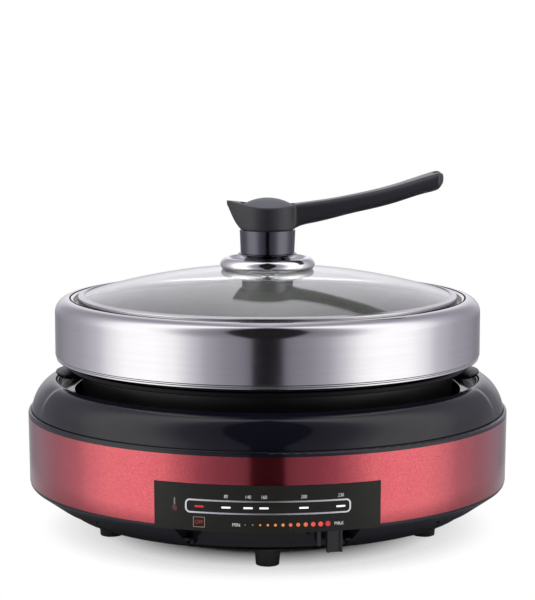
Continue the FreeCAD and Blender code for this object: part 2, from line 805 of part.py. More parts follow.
def fuse_clip():
    """Strap that holds the fuse up to the dish."""
    low = dish_floor - 5.2
    x0, x1 = -fuse_circle - 2, -fuse_circle + 2
    strap = block(x0, x1, fuse_y - 4, fuse_y + 4, low, dish_floor).cut(
        block(x0 - 1, x1 + 1, fuse_y - 3, fuse_y + 3, low + 0.8, dish_floor + 1))
    return strap.fuse(block(x0, x1, fuse_y + 4, fuse_y + 10, dish_floor - 0.8, dish_floor)).removeSplitter()


def terminal_block():
    """Ceramic block on the tray's floor, with its screw wells."""
    low = inside_floor
    half = lead_spread * 1.9
    body = block(-half, half, block_y - block_half, block_y + block_half, low, low + block_height)
    wells = [rod(2.2, low + 8, low + block_height + 1, i * lead_spread, block_y + side * 4) for i in (-1, 0, 1)
             for side in (-1, 1)]
    return without(body, wells)


def inlet_face():
    """Distance of the inlet's flange from the axis, so that its ends clear the band."""
    bore = base_radius - band_thickness - band_lean
    return math.sqrt(bore ** 2 - (inlet_flange_width / 2) ** 2) - seat_gap


def power_inlet():
    """Recessed appliance inlet at the back: cup, flange and mouth collar."""
    face = inlet_face()
    half_w, half_h = inlet_mouth_width / 2, inlet_mouth_height / 2
    low, high = inlet_height - half_h, inlet_height + half_h
    back = face - inlet_depth
    mouth = math.sqrt((base_radius - 0.2) ** 2 - (half_w + inlet_wall) ** 2)
    cup = block(-half_w - inlet_wall, half_w + inlet_wall, back, mouth, low - inlet_wall, high + inlet_wall)
    cup = cup.makeFillet(2.5, [e for e in cup.Edges if abs(e.BoundBox.YLength) > inlet_depth])
    half_f = inlet_flange_width / 2
    half_g = inlet_flange_height / 2
    flange = block(-half_f, half_f, face - inlet_flange_sheet, face, inlet_height - half_g, inlet_height + half_g)
    flange = flange.makeFillet(4.0, [e for e in flange.Edges
                                     if abs(e.BoundBox.YLength - inlet_flange_sheet) < 0.01])
    hollow = block(-half_w, half_w, back + inlet_wall, mouth + 5, low, high)
    hollow = hollow.makeFillet(1.8, [e for e in hollow.Edges if abs(e.BoundBox.YLength) > inlet_depth])
    holes = [Part.makeCylinder(screw_radius + screw_gap, 20, V(side * inlet_screw_spread, face - 10, inlet_height),
                               V(0, 1, 0)) for side in (-1, 1)]
    pins = [pin_space(x, z, 0.1) for x, z in pin_places()]
    return without(cup.fuse(flange), [hollow] + holes + pins)


def pin_places():
    """Three pins: two side by side low, the middle one high."""
    return [(-7.0, inlet_height - 2.0), (0.0, inlet_height + 2.0), (7.0, inlet_height - 2.0)]


def pin_space(x, z, extra):
    """Flat blade of the inlet, rounded at its tip."""
    face = inlet_face()
    back = face - inlet_depth - inlet_tab
    front = face - inlet_depth + pin_length
    return block(x - 1.0 - extra, x + 1.0 + extra, back, front, z - 2.0 - extra, z + 2.0 + extra)


def inlet_screws():
    """Two screws that hold the inlet's flange, their heads in the band's holes."""
    face = inlet_face()
    pieces = []
    for side in (-1, 1):
        one = screw(8.0, head=2.9, height=1.3)
        one.rotate(V(), V(1, 0, 0), 90)
        one.translate(V(side * inlet_screw_spread, face, inlet_height))
        pieces.append(one)
    return pieces


def supply_leads():
    """Three leads that drop from the inlet's tabs and run along the tray to the terminal block."""
    drop_y = inlet_face() - inlet_depth - inlet_tab / 2
    low = inside_floor + 6.0
    rise = inside_floor + 14.0
    wires = []
    for (x, z), lane in zip(pin_places(), (-lead_spread, 0.0, lead_spread)):
        start_z = z - 2.0
        route = [(x, drop_y, start_z), (x, drop_y, start_z - 14), (lane, drop_y - 6, rise + 6),
                 (lane, (drop_y + block_y + block_half) / 2, rise), (lane, block_y + block_half + 12, low),
                 (lane, block_y + block_half, low)]
        wires.append(tube_path(route, lead_radius))
    return wires


def heater_leads():
    """Leads from the block to the thermostat, from there to the heater's inner leg, and from the block to the outer."""
    low = inside_floor + 6.0
    tab_z = bridge_top - bracket_sheet - thermostat_height + 4.4
    tab_end = thermostat_radius + 9
    front = block_y - block_half
    leg_z = element_level - element_leg
    (outer_x, outer_y), (inner_x, inner_y) = element_legs()
    half_way = (front + tab_end) / 2
    first = [(-lead_spread, front, low), (-lead_spread, front - 12, low), (-lead_spread - 1, half_way, low + 4),
             (-9, tab_end + 12, tab_z), (-9, tab_end, tab_z)]
    second = [(9, tab_end, tab_z), (9, tab_end + 9, tab_z), (inner_x - 6, inner_y - 22, tab_z - 2),
              (inner_x, inner_y, leg_z - 9), (inner_x, inner_y, leg_z)]
    third = [(lead_spread, front, low), (lead_spread, front - 9, low), (outer_x - 4, outer_y - 12, low + 3),
             (outer_x, outer_y, leg_z - 10), (outer_x, outer_y, leg_z)]
    return [tube_path(route, lead_radius) for route in (first, second, third)]


def pan():
    """Deep pan with a rounded bottom corner and a flat ledge for the lid and the collar."""
    bend = math.sqrt(0.5)
    centre_z = pan_floor + pan_corner
    wide = pan_flat_radius + pan_corner
    small = pan_corner - pan_wall
    outer_mid = (pan_flat_radius + pan_corner * bend, centre_z - pan_corner * bend)
    inner_mid = (pan_flat_radius + small * bend, centre_z - small * bend)
    top = pan_ledge_height
    return turned((0, pan_floor), (pan_flat_radius, pan_floor), ("arc", outer_mid, (wide, centre_z)),
                  (pan_top_radius, top - 4.0), (pan_ledge_radius, top - 1.6), (pan_ledge_radius, top),
                  (pan_top_radius - pan_wall + 1.4, top),
                  ("arc", (pan_top_radius - pan_wall + 0.4, top - 0.6), (pan_top_radius - pan_wall, top - 2.0)),
                  (wide - pan_wall, centre_z), ("arc", inner_mid, (pan_flat_radius, pan_floor + pan_wall)),
                  (0, pan_floor + pan_wall))


def steel_ring():
    """Brushed collar: upright wall, round shoulder, inner hem on the ledge and a hem at the bottom."""
    bend = math.sqrt(0.5)
    arc_r = ring_radius - ring_round
    arc_z = ring_top - ring_round
    small = ring_round - ring_sheet
    hem_r = arc_r - 0.6
    hem_low = pan_ledge_height + seat_gap
    low = ring_bottom
    return turned((ring_radius - ring_hem, low), (ring_radius - 0.5, low),
                  ("arc", (ring_radius - 0.15, low + 0.15), (ring_radius, low + 0.5)), (ring_radius, arc_z),
                  ("arc", (arc_r + ring_round * bend, arc_z + ring_round * bend), (arc_r + 0.4, ring_top)),
                  ("arc", (arc_r - 0.3, ring_top - 0.3), (hem_r, ring_top - 1.0)), (hem_r, hem_low),
                  (hem_r + ring_sheet, hem_low), (hem_r + ring_sheet, ring_top - ring_sheet - 0.3),
                  (arc_r + ring_sheet, ring_top - ring_sheet),
                  ("arc", (arc_r + small * bend, arc_z + small * bend), (ring_radius - ring_sheet, arc_z)),
                  (ring_radius - ring_sheet, low + ring_sheet), (ring_radius - ring_hem, low + ring_sheet))


def pan_radius_at(z):
    """Outer radius of the pan's straight wall at a height."""
    centre_z = pan_floor + pan_corner
    wide = pan_flat_radius + pan_corner
    return wide + (pan_top_radius - wide) * (z - centre_z) / (pan_ledge_height - 4.0 - centre_z)


def ring_carrier():
    """Black moulding between pan and collar: the bead below, the neck, and the flange in the collar."""
    bore = pan_radius_at(carrier_top) + seat_gap
    low = carrier_bottom
    bead = carrier_bead_radius
    neck = carrier_neck_radius
    flange = ring_bottom + ring_sheet + seat_gap
    flange_r = ring_radius - ring_sheet - seat_gap
    body = turned((bore, low), (bead - 0.8, low), ("arc", (bead - 0.23, low + 0.23), (bead, low + 0.8)),
                  (bead, low + 3.2), (neck, low + 4.2), (neck, flange), (flange_r, flange), (flange_r, flange + 2.0),
                  (neck - 2.0, flange + 2.0), (bore + 2.2, carrier_top), (bore, carrier_top))
    holes = [rod(screw_radius + screw_gap, low - 1, flange + 1, side * ear_screw_circle_x, y)
             for side in (-1, 1) for y in (-ear_screw_y, ear_screw_y)]
    return without(body, holes)


def ear():
    """Side grip at +X: a wedge that hangs from the carrier and leans outwards over the shoulder."""
    tip = ear_tip
    low = ear_bottom
    bore = pan_radius_at(carrier_bottom) + seat_gap
    points = [(bore - 6, carrier_bottom), (tip - 12.6, carrier_bottom), (tip - 6.9, carrier_bottom - 3.5),
              (tip, low + 2.6), (tip - 1.2, low), (tip - 11.5, low), (bore - 6, low + 3.2)]
    face = Part.Face(Part.makePolygon([V(x, -ear_half_width, z) for x, z in points + points[:1]]))
    wedge = face.extrude(V(0, 2 * ear_half_width, 0))
    plan = rod(ear_plan_radius, low - 5, carrier_bottom + 5, tip - ear_plan_radius)
    body = wedge.common(plan).cut(rod(bore, low - 5, carrier_bottom + 5))
    holes = []
    for y in (-ear_screw_y, ear_screw_y):
        holes.append(rod(screw_radius + screw_gap, low - 5, carrier_bottom + 1, ear_screw_circle_x, y))
        holes.append(rod(3.2, low - 5, ear_screw_seat(), ear_screw_circle_x, y))
    return without(body, holes)


def ear_screw_seat():
    """Height of the seat of the ear screws' heads."""
    return ear_bottom + 5.0


def ear_screws():
    """Two screws in each ear, up into the carrier."""
    pieces = []
    for side in (-1, 1):
        for y in (-ear_screw_y, ear_screw_y):
            length = ring_bottom + ring_sheet - ear_screw_seat()
            pieces.append(moved(screw(length, head=2.9, height=2.0), side * ear_screw_circle_x, y, ear_screw_seat()))
    return pieces


def dome_height(radius, drop=0.0):
    """Height of the dome's ball at a radius from the axis."""
    ball = dome_radius - drop
    return dome_top - dome_radius + math.sqrt(ball ** 2 - radius ** 2)


def glass_blank(hole, edge):
    """Dome of even thickness from a centre hole to an edge."""
    slope = edge / dome_radius
    inner_edge = edge - glass_sheet * slope
    middle = edge * 0.55
    return turned((hole, dome_height(hole)), ("arc", (middle, dome_height(middle)), (edge, dome_height(edge))),
                  (inner_edge, dome_height(inner_edge, glass_sheet)),
                  ("arc", (middle, dome_height(middle, glass_sheet)), (hole, dome_height(hole, glass_sheet))))


def to_vent(shape):
    """Copy tilted from the dome's top to the vent's place at the front."""
    copy = shape.copy()
    copy.rotate(V(0, 0, dome_top - dome_radius), V(1, 0, 0), math.degrees(math.asin(vent_offset / dome_radius)))
    return copy


def glass_dome():
    """Clear dome with holes for the knob screw and the steam vent."""
    vent = to_vent(rod(vent_hole + vent_wall + 0.1, dome_top - 20, dome_top + 10))
    return glass_blank(knob_screw_radius + 1.2, glass_radius).cut(vent)


def steam_vent():
    """Steel eyelet rolled over both faces of the glass."""
    top = dome_top
    low = dome_top - glass_sheet
    outer = vent_hole + vent_wall
    eyelet = turned((vent_hole, low - 0.9), (outer + 0.9, low - 0.9), (outer + 0.9, low - 0.15), (outer, low - 0.15),
                    (outer, top + 0.05), (outer + 1.8, top + 0.05), (outer + 1.6, top + 0.6),
                    ("arc", (vent_hole + 0.8, top + 1.0), (vent_hole, top + 0.5)))
    return to_vent(eyelet)


def lid_rim():
    """Steel channel rolled round the edge of the glass."""
    r = lid_rim_radius
    low = pan_ledge_height + seat_gap
    edge = dome_height(glass_radius)
    inner = glass_radius - 3.2
    blank = turned((inner + 0.5, low + 0.8), (inner + 1.3, low), (r - 0.5, low), (r, low + 0.5), (r, edge - 0.1),
                   ("arc", (r - 0.3, edge + 0.7), (glass_radius, edge + lid_rim_sheet)),
                   (inner, dome_height(inner) + 0.8), (inner - 0.2, dome_height(inner) + 0.1))
    return blank.cut(glass_blank(knob_screw_radius, glass_radius))


def collar():
    """Pressed chrome collar: flat floor, rolled ring and a skirt down to the glass."""
    r, floor, sheet = collar_radius, collar_floor, collar_sheet
    hole = knob_screw_radius + 0.3
    foot_z = dome_height(r - 1.3) + seat_gap
    crest = floor + 4.4
    top = [(r - 8.5, floor + 1.7), (r - 5.3, crest), (r - 1.7, floor + 2.7), (r, floor - 0.5), (r - 0.6, foot_z + 0.8),
           (r - 1.3, foot_z)]
    under = [(r - 1.4, foot_z + 0.9), (r - sheet, floor - 0.5), (r - 2.3, floor + 2.1), (r - 5.3, crest - sheet),
             (r - 8.1, floor + 0.9), (r - 11.3, floor - sheet)]
    return turned((hole, floor), (r - 11.5, floor), ("curve", top), (r - 2.1, foot_z), ("curve", under),
                  (hole, floor - sheet))


def glass_seal():
    """Silicone pad between the collar's floor and the glass."""
    top = collar_floor - collar_sheet
    return ring(collar_radius - 13.5, knob_screw_radius + 0.3, dome_top - 3, top).cut(
        Part.makeSphere(dome_radius, V(0, 0, dome_top - dome_radius)))


def lower_seal():
    """Silicone washer under the glass."""
    under = dome_top - glass_sheet
    pad = ring(10.0, knob_screw_radius + 0.3, under - 1.6, under + 1)
    return pad.common(Part.makeSphere(dome_radius - glass_sheet, V(0, 0, dome_top - dome_radius)))


def cup_washer():
    """Steel washer for the knob screw's head."""
    top = dome_top - glass_sheet - 1.6
    return ring(8.6, knob_screw_radius + 0.3, top - 1.2, top)


def knob_screw():
    """Screw through the glass up into the stem."""
    seat = dome_top - glass_sheet - 1.6 - 1.2
    length = collar_floor + 14.5 - seat
    return moved(screw(length, head=knob_screw_head, height=2.6, radius=knob_screw_radius), 0, 0, seat)


def knob_stem():
    """Gloss stem: neck in the collar, thin lip, and the slightly flared barrel."""
    lip = stem_lip_height
    body = turned((0, collar_floor), (neck_radius, collar_floor), (neck_radius, lip - 3.0), (stem_lip_radius, lip - 0.2),
                  ("arc", (stem_lip_radius + 0.3, lip + 0.1), (stem_lip_radius, lip + 0.4)),
                  (stem_radius, lip + 0.9), (stem_top_radius, stem_top), (0, stem_top))
    bore = rod(knob_screw_radius + screw_gap, collar_floor - 1, collar_floor + 16)
    top_bore = rod(screw_radius + screw_gap, stem_top - 8, stem_top + 1)
    return without(body, [bore, top_bore])


def beak_wire(radius, tip, z):
    """Round outline drawn out to a point on the left."""
    turn = math.radians(180 - 46.7)

    def spot(angle):
        return V(radius * math.cos(angle), radius * math.sin(angle), z)

    back, right, front, point = spot(turn), spot(0), spot(-turn), V(-tip, 0, z)
    edges = [Part.Arc(back, spot(turn / 2), right).toShape(), Part.Arc(right, spot(-turn / 2), front).toShape()]
    if tip > radius + 0.1:
        edges += [Part.LineSegment(front, point).toShape(), Part.LineSegment(point, back).toShape()]
    else:
        edges += [Part.Arc(front, spot(-(turn + math.pi) / 2), point).toShape(),
                  Part.Arc(point, spot((turn + math.pi) / 2), back).toShape()]
    return Part.Wire(edges)


def handle_top():
    """Line of the handle's upper side, from the beak over the head and out to the end."""
    return [(-head_tip - 2, stem_top + 21.7), (-head_tip + 10, stem_top + 18.9), (0, stem_top + 17.3),
            (20, stem_top + 18.3), (55, stem_top + 22.5), (80.5, stem_top + 29.1), (107, stem_top + 36.4),
            (handle_end + 6, stem_top + 44.4)]


def top_tool():
    """Everything above the handle's upper line."""
    points = [V(x, -60, z) for x, z in handle_top()]
    curve = Part.BSplineCurve()
    curve.interpolate(points)
    roof = stem_top + 80
    first, last = points[0], points[-1]
    sides = [Part.LineSegment(last, V(last.x, -60, roof)).toShape(),
             Part.LineSegment(V(last.x, -60, roof), V(first.x, -60, roof)).toShape(),
             Part.LineSegment(V(first.x, -60, roof), first).toShape()]
    return Part.Face(Part.Wire([curve.toShape()] + sides)).extrude(V(0, 120, 0))


def handle_bar():
    """The long bar: its side view cut out by its plan, with the notched tail."""
    low_line = [(8, stem_top + 1.0), (23, stem_top + 3.7), (52, stem_top + 11.0), (75, stem_top + 16.8),
                (92, stem_top + 21.4), (112.6, stem_top + 27.9), (handle_end - 7, stem_top + 30.6)]
    points = [V(x, -60, z) for x, z in low_line]
    under = Part.BSplineCurve()
    under.interpolate(points)
    roof = stem_top + 60
    tail = V(handle_end + 12, -60, roof)
    corner = V(8, -60, roof)
    sides = [Part.LineSegment(points[-1], tail).toShape(), Part.LineSegment(tail, corner).toShape(),
             Part.LineSegment(corner, points[0]).toShape()]
    side_view = Part.Face(Part.Wire([under.toShape()] + sides)).extrude(V(0, 120, 0))
    half = [(4, handle_root_half), (30, handle_root_half - 0.6), (60, handle_root_half + 0.4),
            (95, handle_root_half + 3.6), (118, handle_end_half - 2.4), (handle_end, handle_end_half)]
    far = Part.BSplineCurve()
    far.interpolate([V(x, y, 0) for x, y in half])
    near = Part.BSplineCurve()
    near.interpolate([V(x, -y, 0) for x, y in reversed(half)])
    notch = V(handle_end - handle_notch, 0, 0)
    plan = Part.Wire([far.toShape(), Part.LineSegment(V(half[-1][0], half[-1][1], 0), notch).toShape(),
                      Part.LineSegment(notch, V(half[-1][0], -half[-1][1], 0)).toShape(), near.toShape(),
                      Part.LineSegment(V(half[0][0], -half[0][1], 0), V(half[0][0], half[0][1], 0)).toShape()])
    column = Part.Face(plan).extrude(V(0, 0, 400))
    return side_view.common(column)


def lid_handle():
    """Flared head and long handle in one moulding, with the cap's recess and the screw's well."""
    flare = Part.makeLoft([beak_wire(stem_top_radius, stem_top_radius, stem_top),
                           beak_wire(head_radius, head_tip, stem_top + head_height)], True, True)
    body = flare.fuse(handle_bar()).cut(top_tool())
    recess = rod(cap_radius + 0.2, cap_seat, cap_seat + 60)
    well = rod(screw_head_radius + seat_gap, cap_seat - 5, cap_seat + 10)
    hole = rod(screw_radius + screw_gap, stem_top - 1, cap_seat)
    return without(body, [recess, well, hole])


def head_screw():
    """Screw from under the cap down into the stem."""
    one = screw(cap_seat - 5 - stem_top + 7)
    one.rotate(V(), V(1, 0, 0), 180)
    return moved(one, 0, 0, cap_seat - 5)


def knob_cap():
    """Domed cap over the screw."""
    edge = cap_seat + cap_edge
    ball = (cap_radius ** 2 + cap_crown ** 2) / (2 * cap_crown)
    half = cap_radius * 0.5
    half_z = edge + cap_crown - ball + math.sqrt(ball ** 2 - half ** 2)
    return turned((0, cap_seat), (cap_radius, cap_seat), (cap_radius, edge), ("arc", (half, half_z),
                  (0, edge + cap_crown)))


def write_base():
    """Fixed pieces of the heating base."""
    export("lower_tray", lower_tray())
    for number, piece in enumerate(around(foot(), foot_count, -90), 1):
        export("foot_%d" % number, piece)
    foot_screw = at_circle(screw(inside_floor + foot_boss_height - foot_seat - 0.5), foot_circle, foot_seat)
    export("foot_screws", *around(foot_screw, foot_count, -90))
    export("red_band", red_band())
    export("trim_ring", trim_ring())
    export("top_cover", top_cover())
    seat = cover_boss_top() - pillar_boss_seat
    cover_screw = at_circle(screw(pillar_boss_seat + 12), pillar_circle, seat)
    export("cover_screws", *around(cover_screw, pillar_count, 45))
    export("control_panel", control_panel())
    export("lamp_lens", lamp_lens())
    export("lamp_holder", lamp_holder())
    export("pilot_lamp", pilot_lamp())
    export("reflector_dish", reflector_dish())
    dish_seat = shoulder_top - opening_rim_depth - seat_gap - dish_sheet
    dish_screw = at_circle(screw(dish_sheet + 2.8), dish_screw_circle, dish_seat)
    export("dish_screws", *around(dish_screw, dish_screws_count, dish_screw_deg))


def write_heating():
    """Heater, sensor, thermostat and wiring inside the base."""
    export("heater_element", heater_element())
    export("element_bushes", *element_bushes())
    export("element_clips", *element_clips())
    export("sensor_guide", sensor_guide())
    export("sensor_plunger", sensor_plunger())
    export("sensor_spring", sensor_spring())
    export("thermostat_bracket", thermostat_bracket())
    bracket_screw = screw(bracket_sheet + bracket_boss_height - 1.5, head=3.0, height=2.0)
    bracket_screw.rotate(V(), V(1, 0, 0), 180)
    foot_top = inside_floor + bracket_boss_height + bracket_sheet
    bracket_screw.translate(V(bracket_half_length + bracket_foot / 2, 0, foot_top))
    export("bracket_screws", *around(bracket_screw, 2, 0))
    export("thermostat_body", thermostat_body())
    export("thermal_fuse", thermal_fuse())
    export("fuse_clip", fuse_clip())
    export("terminal_block", terminal_block())
    export("power_inlet", power_inlet())
    export("inlet_pins", *[pin_space(x, z, 0) for x, z in pin_places()])
    export("inlet_screws", *inlet_screws())
    export("supply_leads", *supply_leads())
    export("heater_leads", *heater_leads())


def write_lever():
    """Temperature lever and what turns with it."""
    export("spindle", spindle())
    export("spindle_clip", spun(spindle_clip(), lever_rest_deg))
    export("lever_arm", lever_arm())
    export("lever_tab", lever_tab())


def write_pot():
    """Lift-out pot."""
    export("pan", pan())
    export("steel_ring", steel_ring())
    export("ring_carrier", ring_carrier())
    export("ear_right", ear())
    export("ear_left", spun(ear(), 180))
    export("ear_screws", *ear_screws())


def write_lid():
    """Glass lid with its knob and long handle."""
    export("glass_dome", glass_dome())
    export("lid_rim", lid_rim())
    export("steam_vent", steam_vent())
    export("collar", collar())
    export("glass_seal", glass_seal())
    export("lower_seal", lower_seal())
    export("cup_washer", cup_washer())
    export("knob_screw", knob_screw())
    export("knob_stem", knob_stem())
    export("lid_handle", lid_handle())
    export("head_screw", head_screw())
    export("knob_cap", knob_cap())


os.makedirs("parts", exist_ok=True)
write_base()
write_heating()
write_lever()
write_pot()
write_lid()
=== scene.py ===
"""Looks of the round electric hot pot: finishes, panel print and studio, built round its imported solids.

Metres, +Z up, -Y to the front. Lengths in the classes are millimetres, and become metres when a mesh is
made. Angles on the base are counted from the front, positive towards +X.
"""

import logging
import math
from dataclasses import dataclass
from enum import Enum

import bmesh
import bpy
import numpy as np
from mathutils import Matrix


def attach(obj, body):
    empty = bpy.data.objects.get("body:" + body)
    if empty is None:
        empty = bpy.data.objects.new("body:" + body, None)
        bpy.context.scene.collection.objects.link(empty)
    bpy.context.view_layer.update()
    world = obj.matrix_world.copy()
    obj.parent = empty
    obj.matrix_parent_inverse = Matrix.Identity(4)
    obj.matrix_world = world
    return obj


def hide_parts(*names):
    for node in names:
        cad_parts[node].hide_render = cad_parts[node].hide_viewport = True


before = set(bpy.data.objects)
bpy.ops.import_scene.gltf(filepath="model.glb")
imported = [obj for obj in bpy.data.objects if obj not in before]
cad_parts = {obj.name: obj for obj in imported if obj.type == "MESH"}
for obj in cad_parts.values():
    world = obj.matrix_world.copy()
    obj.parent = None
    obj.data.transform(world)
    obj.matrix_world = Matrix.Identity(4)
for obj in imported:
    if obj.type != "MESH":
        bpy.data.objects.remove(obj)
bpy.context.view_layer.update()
MM = 0.001
LOG = logging.getLogger("hot_pot")
Array = np.ndarray
Colour = tuple[float, float, float]
Line = tuple[tuple[float, float], ...]


class Turn(Enum):
    """How a profile is closed when it is swept round the axis."""

    OPEN = "open"
    LOOP = "loop"


# Mesh building


def arc_corner(before: Array, corner: Array, after: Array, radius: float, steps: int) -> Array:
    """Points of the arc that rounds one corner.

    The arc touches both runs at radius / tan(half the inner angle) from the corner, and its centre lies on the
    corner's bisector. A further point just outside each end keeps the straight runs flat in shading.

    Args:
        before: Corner before this one, as (radius, height).
        corner: The corner itself.
        after: Corner after this one.
        radius: Radius of the arc in millimetres.
        steps: Number of runs that the arc is divided into.

    Returns:
        The points in order, one per row.
    """
    to_before = (before - corner) / np.linalg.norm(before - corner)
    to_after = (after - corner) / np.linalg.norm(after - corner)
    half = 0.5 * math.acos(float(np.clip(to_before @ to_after, -1.0, 1.0)))
    reach = radius / math.tan(half)
    bisector = to_before + to_after
    centre = corner + bisector / np.linalg.norm(bisector) * radius / math.sin(half)
    first = corner + to_before * reach
    last = corner + to_after * reach
    spoke_a = (first - centre) / radius
    spoke_b = (last - centre) / radius
    sweep = math.acos(float(np.clip(spoke_a @ spoke_b, -1.0, 1.0)))
    t = np.linspace(0.0, 1.0, steps + 1)[:, None]
    spokes = (np.sin((1 - t) * sweep) * spoke_a + np.sin(t * sweep) * spoke_b) / math.sin(sweep)
    guard = 0.15 * radius
    return np.vstack([first + to_before * guard, centre + radius * spokes, last + to_after * guard])


def rounded_profile(corners: list[tuple[float, float, float]], turn: Turn, steps: int = 6) -> Array:
    """Profile through corners, with each corner rounded by its own radius.

    Args:
        corners: Rows of (radius, height, rounding) in millimetres. A rounding of 0 keeps the corner sharp.
        turn: LOOP joins the last corner to the first.
        steps: Number of runs in each rounding.

    Returns:
        Points of the profile, one (radius, height) per row.
    """
    points = np.array([corner[:2] for corner in corners], float)
    count = len(corners)
    rows = []
    for i, (_, _, rounding) in enumerate(corners):
        at_end = turn is Turn.OPEN and i in (0, count - 1)
        if rounding <= 0 or at_end:
            rows.append(points[i][None, :])
        else:
            rows.append(arc_corner(points[i - 1], points[i], points[(i + 1) % count], rounding, steps))
    return np.vstack(rows)


def around(radius: Array, angle: Array, height: Array) -> Array:
    """Points x = r sin(a), y = -r cos(a), z from radii, angles from the front and heights, spread over each other."""
    return np.stack(np.broadcast_arrays(radius * np.sin(angle), -radius * np.cos(angle), height), -1)


def swept_round(profile: Array, count: int) -> Array:
    """Grid of a profile carried round the vertical axis.

    Args:
        profile: Points (radius, height) in millimetres.
        count: Number of angles round the full circle.

    Returns:
        Array of shape (count, points, 3) in millimetres.
    """
    angle = np.arange(count)[:, None] * (2 * math.pi / count)
    return around(profile[None, :, 0], angle, profile[None, :, 1])


def grid_faces(rows: int, columns: int, wrap_rows: bool, wrap_columns: bool) -> Array:
    """Quads that join neighbouring points of a grid.

    Args:
        rows: Number of rows in the grid.
        columns: Number of points in a row.
        wrap_rows: Joins the last row to the first.
        wrap_columns: Joins the last point of each row to its first.

    Returns:
        Integer array with four corner numbers per quad.
    """
    i = np.arange(rows if wrap_rows else rows - 1)[:, None]
    j = np.arange(columns if wrap_columns else columns - 1)[None, :]
    i_next, j_next = (i + 1) % rows, (j + 1) % columns
    quads = np.stack([i * columns + j, i_next * columns + j, i_next * columns + j_next, i * columns + j_next], -1)
    return quads.reshape(-1, 4)


def show(name: str, data: bpy.types.ID) -> bpy.types.Object:
    """New object in the scene."""
    item = bpy.data.objects.new(name, data)
    bpy.context.scene.collection.objects.link(item)
    return item


def mesh_piece(name: str, points: Array, faces: Array | list, smooth: bool = True) -> bpy.types.Object:
    """Object from points in millimetres, with doubled points merged and all faces turned outwards.

    Args:
        name: Name of the new object.
        points: Array of points, three columns.
        faces: Corner numbers of each face.
        smooth: Shades the faces smooth, with creases sharper than 40 degrees kept.

    Returns:
        The new object, linked to the scene.
    """
    mesh = bpy.data.meshes.new(name)
    corners = faces.tolist() if isinstance(faces, np.ndarray) else faces
    mesh.from_pydata((np.asarray(points, float).reshape(-1, 3) * MM).tolist(), [], corners)
    work = bmesh.new()
    work.from_mesh(mesh)
    bmesh.ops.remove_doubles(work, verts=work.verts, dist=1e-7)
    bmesh.ops.recalc_face_normals(work, faces=work.faces)
    work.to_mesh(mesh)
    work.free()
    if smooth:
        mesh.shade_smooth()
        mesh.set_sharp_from_angle(angle=math.radians(40))
    return show(name, mesh)


def turned_piece(name: str, corners: list[tuple[float, float, float]], turn: Turn, count: int = 256,
                 steps: int = 6) -> bpy.types.Object:
    """Turned piece from a rounded profile.

    Args:
        name: Name of the new object.
        corners: Rows of (radius, height, rounding) in millimetres.
        turn: OPEN for a profile that starts and ends on the axis, LOOP for a ring.
        count: Number of angles round the circle.
        steps: Number of runs in each rounding.

    Returns:
        The new object.
    """
    profile = rounded_profile(corners, turn, steps)
    grid = swept_round(profile, count)
    faces = grid_faces(count, len(profile), True, turn is Turn.LOOP)
    return mesh_piece(name, grid, faces)


def lofted_piece(name: str, grid: Array) -> bpy.types.Object:
    """Closed piece through a row of sections, with the first and the last section filled.

    Args:
        name: Name of the new object.
        grid: Array of shape (sections, points, 3) in millimetres, each section a closed outline.

    Returns:
        The new object.
    """
    rows, columns = grid.shape[:2]
    faces = grid_faces(rows, columns, False, True).tolist()
    faces += [list(range(columns)), list(range((rows - 1) * columns, rows * columns))]
    return mesh_piece(name, grid, faces)


def smooth_line(points: Line, at: Array) -> Array:
    """Heights of a smooth line through points.

    Between two points the line is a cubic. Where two cubics meet they share slope and bend, and the ends don't bend.

    Args:
        points: Rows of (place, height), in rising order of place.
        at: Places to read the line at.

    Returns:
        The line's height at each place.
    """
    place, height = np.array(points, float).T
    run, count = np.diff(place), len(place)
    slope = np.diff(height) / run
    middle = np.arange(1, count - 1)
    matrix, right = np.eye(count), np.zeros(count)
    matrix[middle, middle - 1], matrix[middle, middle + 1] = run[:-1], run[1:]
    matrix[middle, middle] = 2.0 * (run[:-1] + run[1:])
    right[1:-1] = 6.0 * np.diff(slope)
    bend = np.linalg.solve(matrix, right)
    i = np.clip(np.searchsorted(place, at) - 1, 0, count - 2)
    b = (at - place[i]) / run[i]
    a = 1.0 - b
    return (a * height[i] + b * height[i + 1]
            + ((a ** 3 - a) * bend[i] + (b ** 3 - b) * bend[i + 1]) * run[i] ** 2 / 6.0)


def round_tool(radius: float, depth: float, place: tuple[float, float, float], lean: float = 0.0) -> bpy.types.Object:
    """Upright cylinder to cut with.

    Args:
        radius: Radius in millimetres.
        depth: Length in millimetres.
        place: Its middle in millimetres.
        lean: Turn about the X axis in radians.

    Returns:
        The new object.
    """
    bpy.ops.mesh.primitive_cylinder_add(vertices=96, radius=radius * MM, depth=depth * MM,
                                        location=[part * MM for part in place], rotation=(lean, 0.0, 0.0))
    return bpy.context.active_object


def carve(piece: bpy.types.Object, *tools: bpy.types.Object) -> bpy.types.Object:
    """Cuts each tool out of a piece and removes the tools.

    Args:
        piece: The object to cut.
        tools: Closed objects that mark what goes away.

    Returns:
        The cut object.
    """
    for tool in tools:
        cut = piece.modifiers.new("cut", "BOOLEAN")
        cut.operation, cut.solver, cut.object = "DIFFERENCE", "EXACT", tool
    solid = bpy.data.meshes.new_from_object(piece.evaluated_get(bpy.context.evaluated_depsgraph_get()))
    piece.modifiers.clear()
    piece.data = solid
    for tool in tools:
        bpy.data.objects.remove(tool)
    return piece


def on_cylinder(points: Array, radius: float) -> Array:
    """Flat points wrapped on the base's wall.

    A point (s, z) with s millimetres along the wall goes to the angle s / radius from the front.

    Args:
        points: Columns s and z, and a third with the distance off the wall.
        radius: Radius of the wall in millimetres.

    Returns:
        Array of points in millimetres.
    """
    return around(radius + points[:, 2], points[:, 0] / radius, points[:, 1])


# Node building


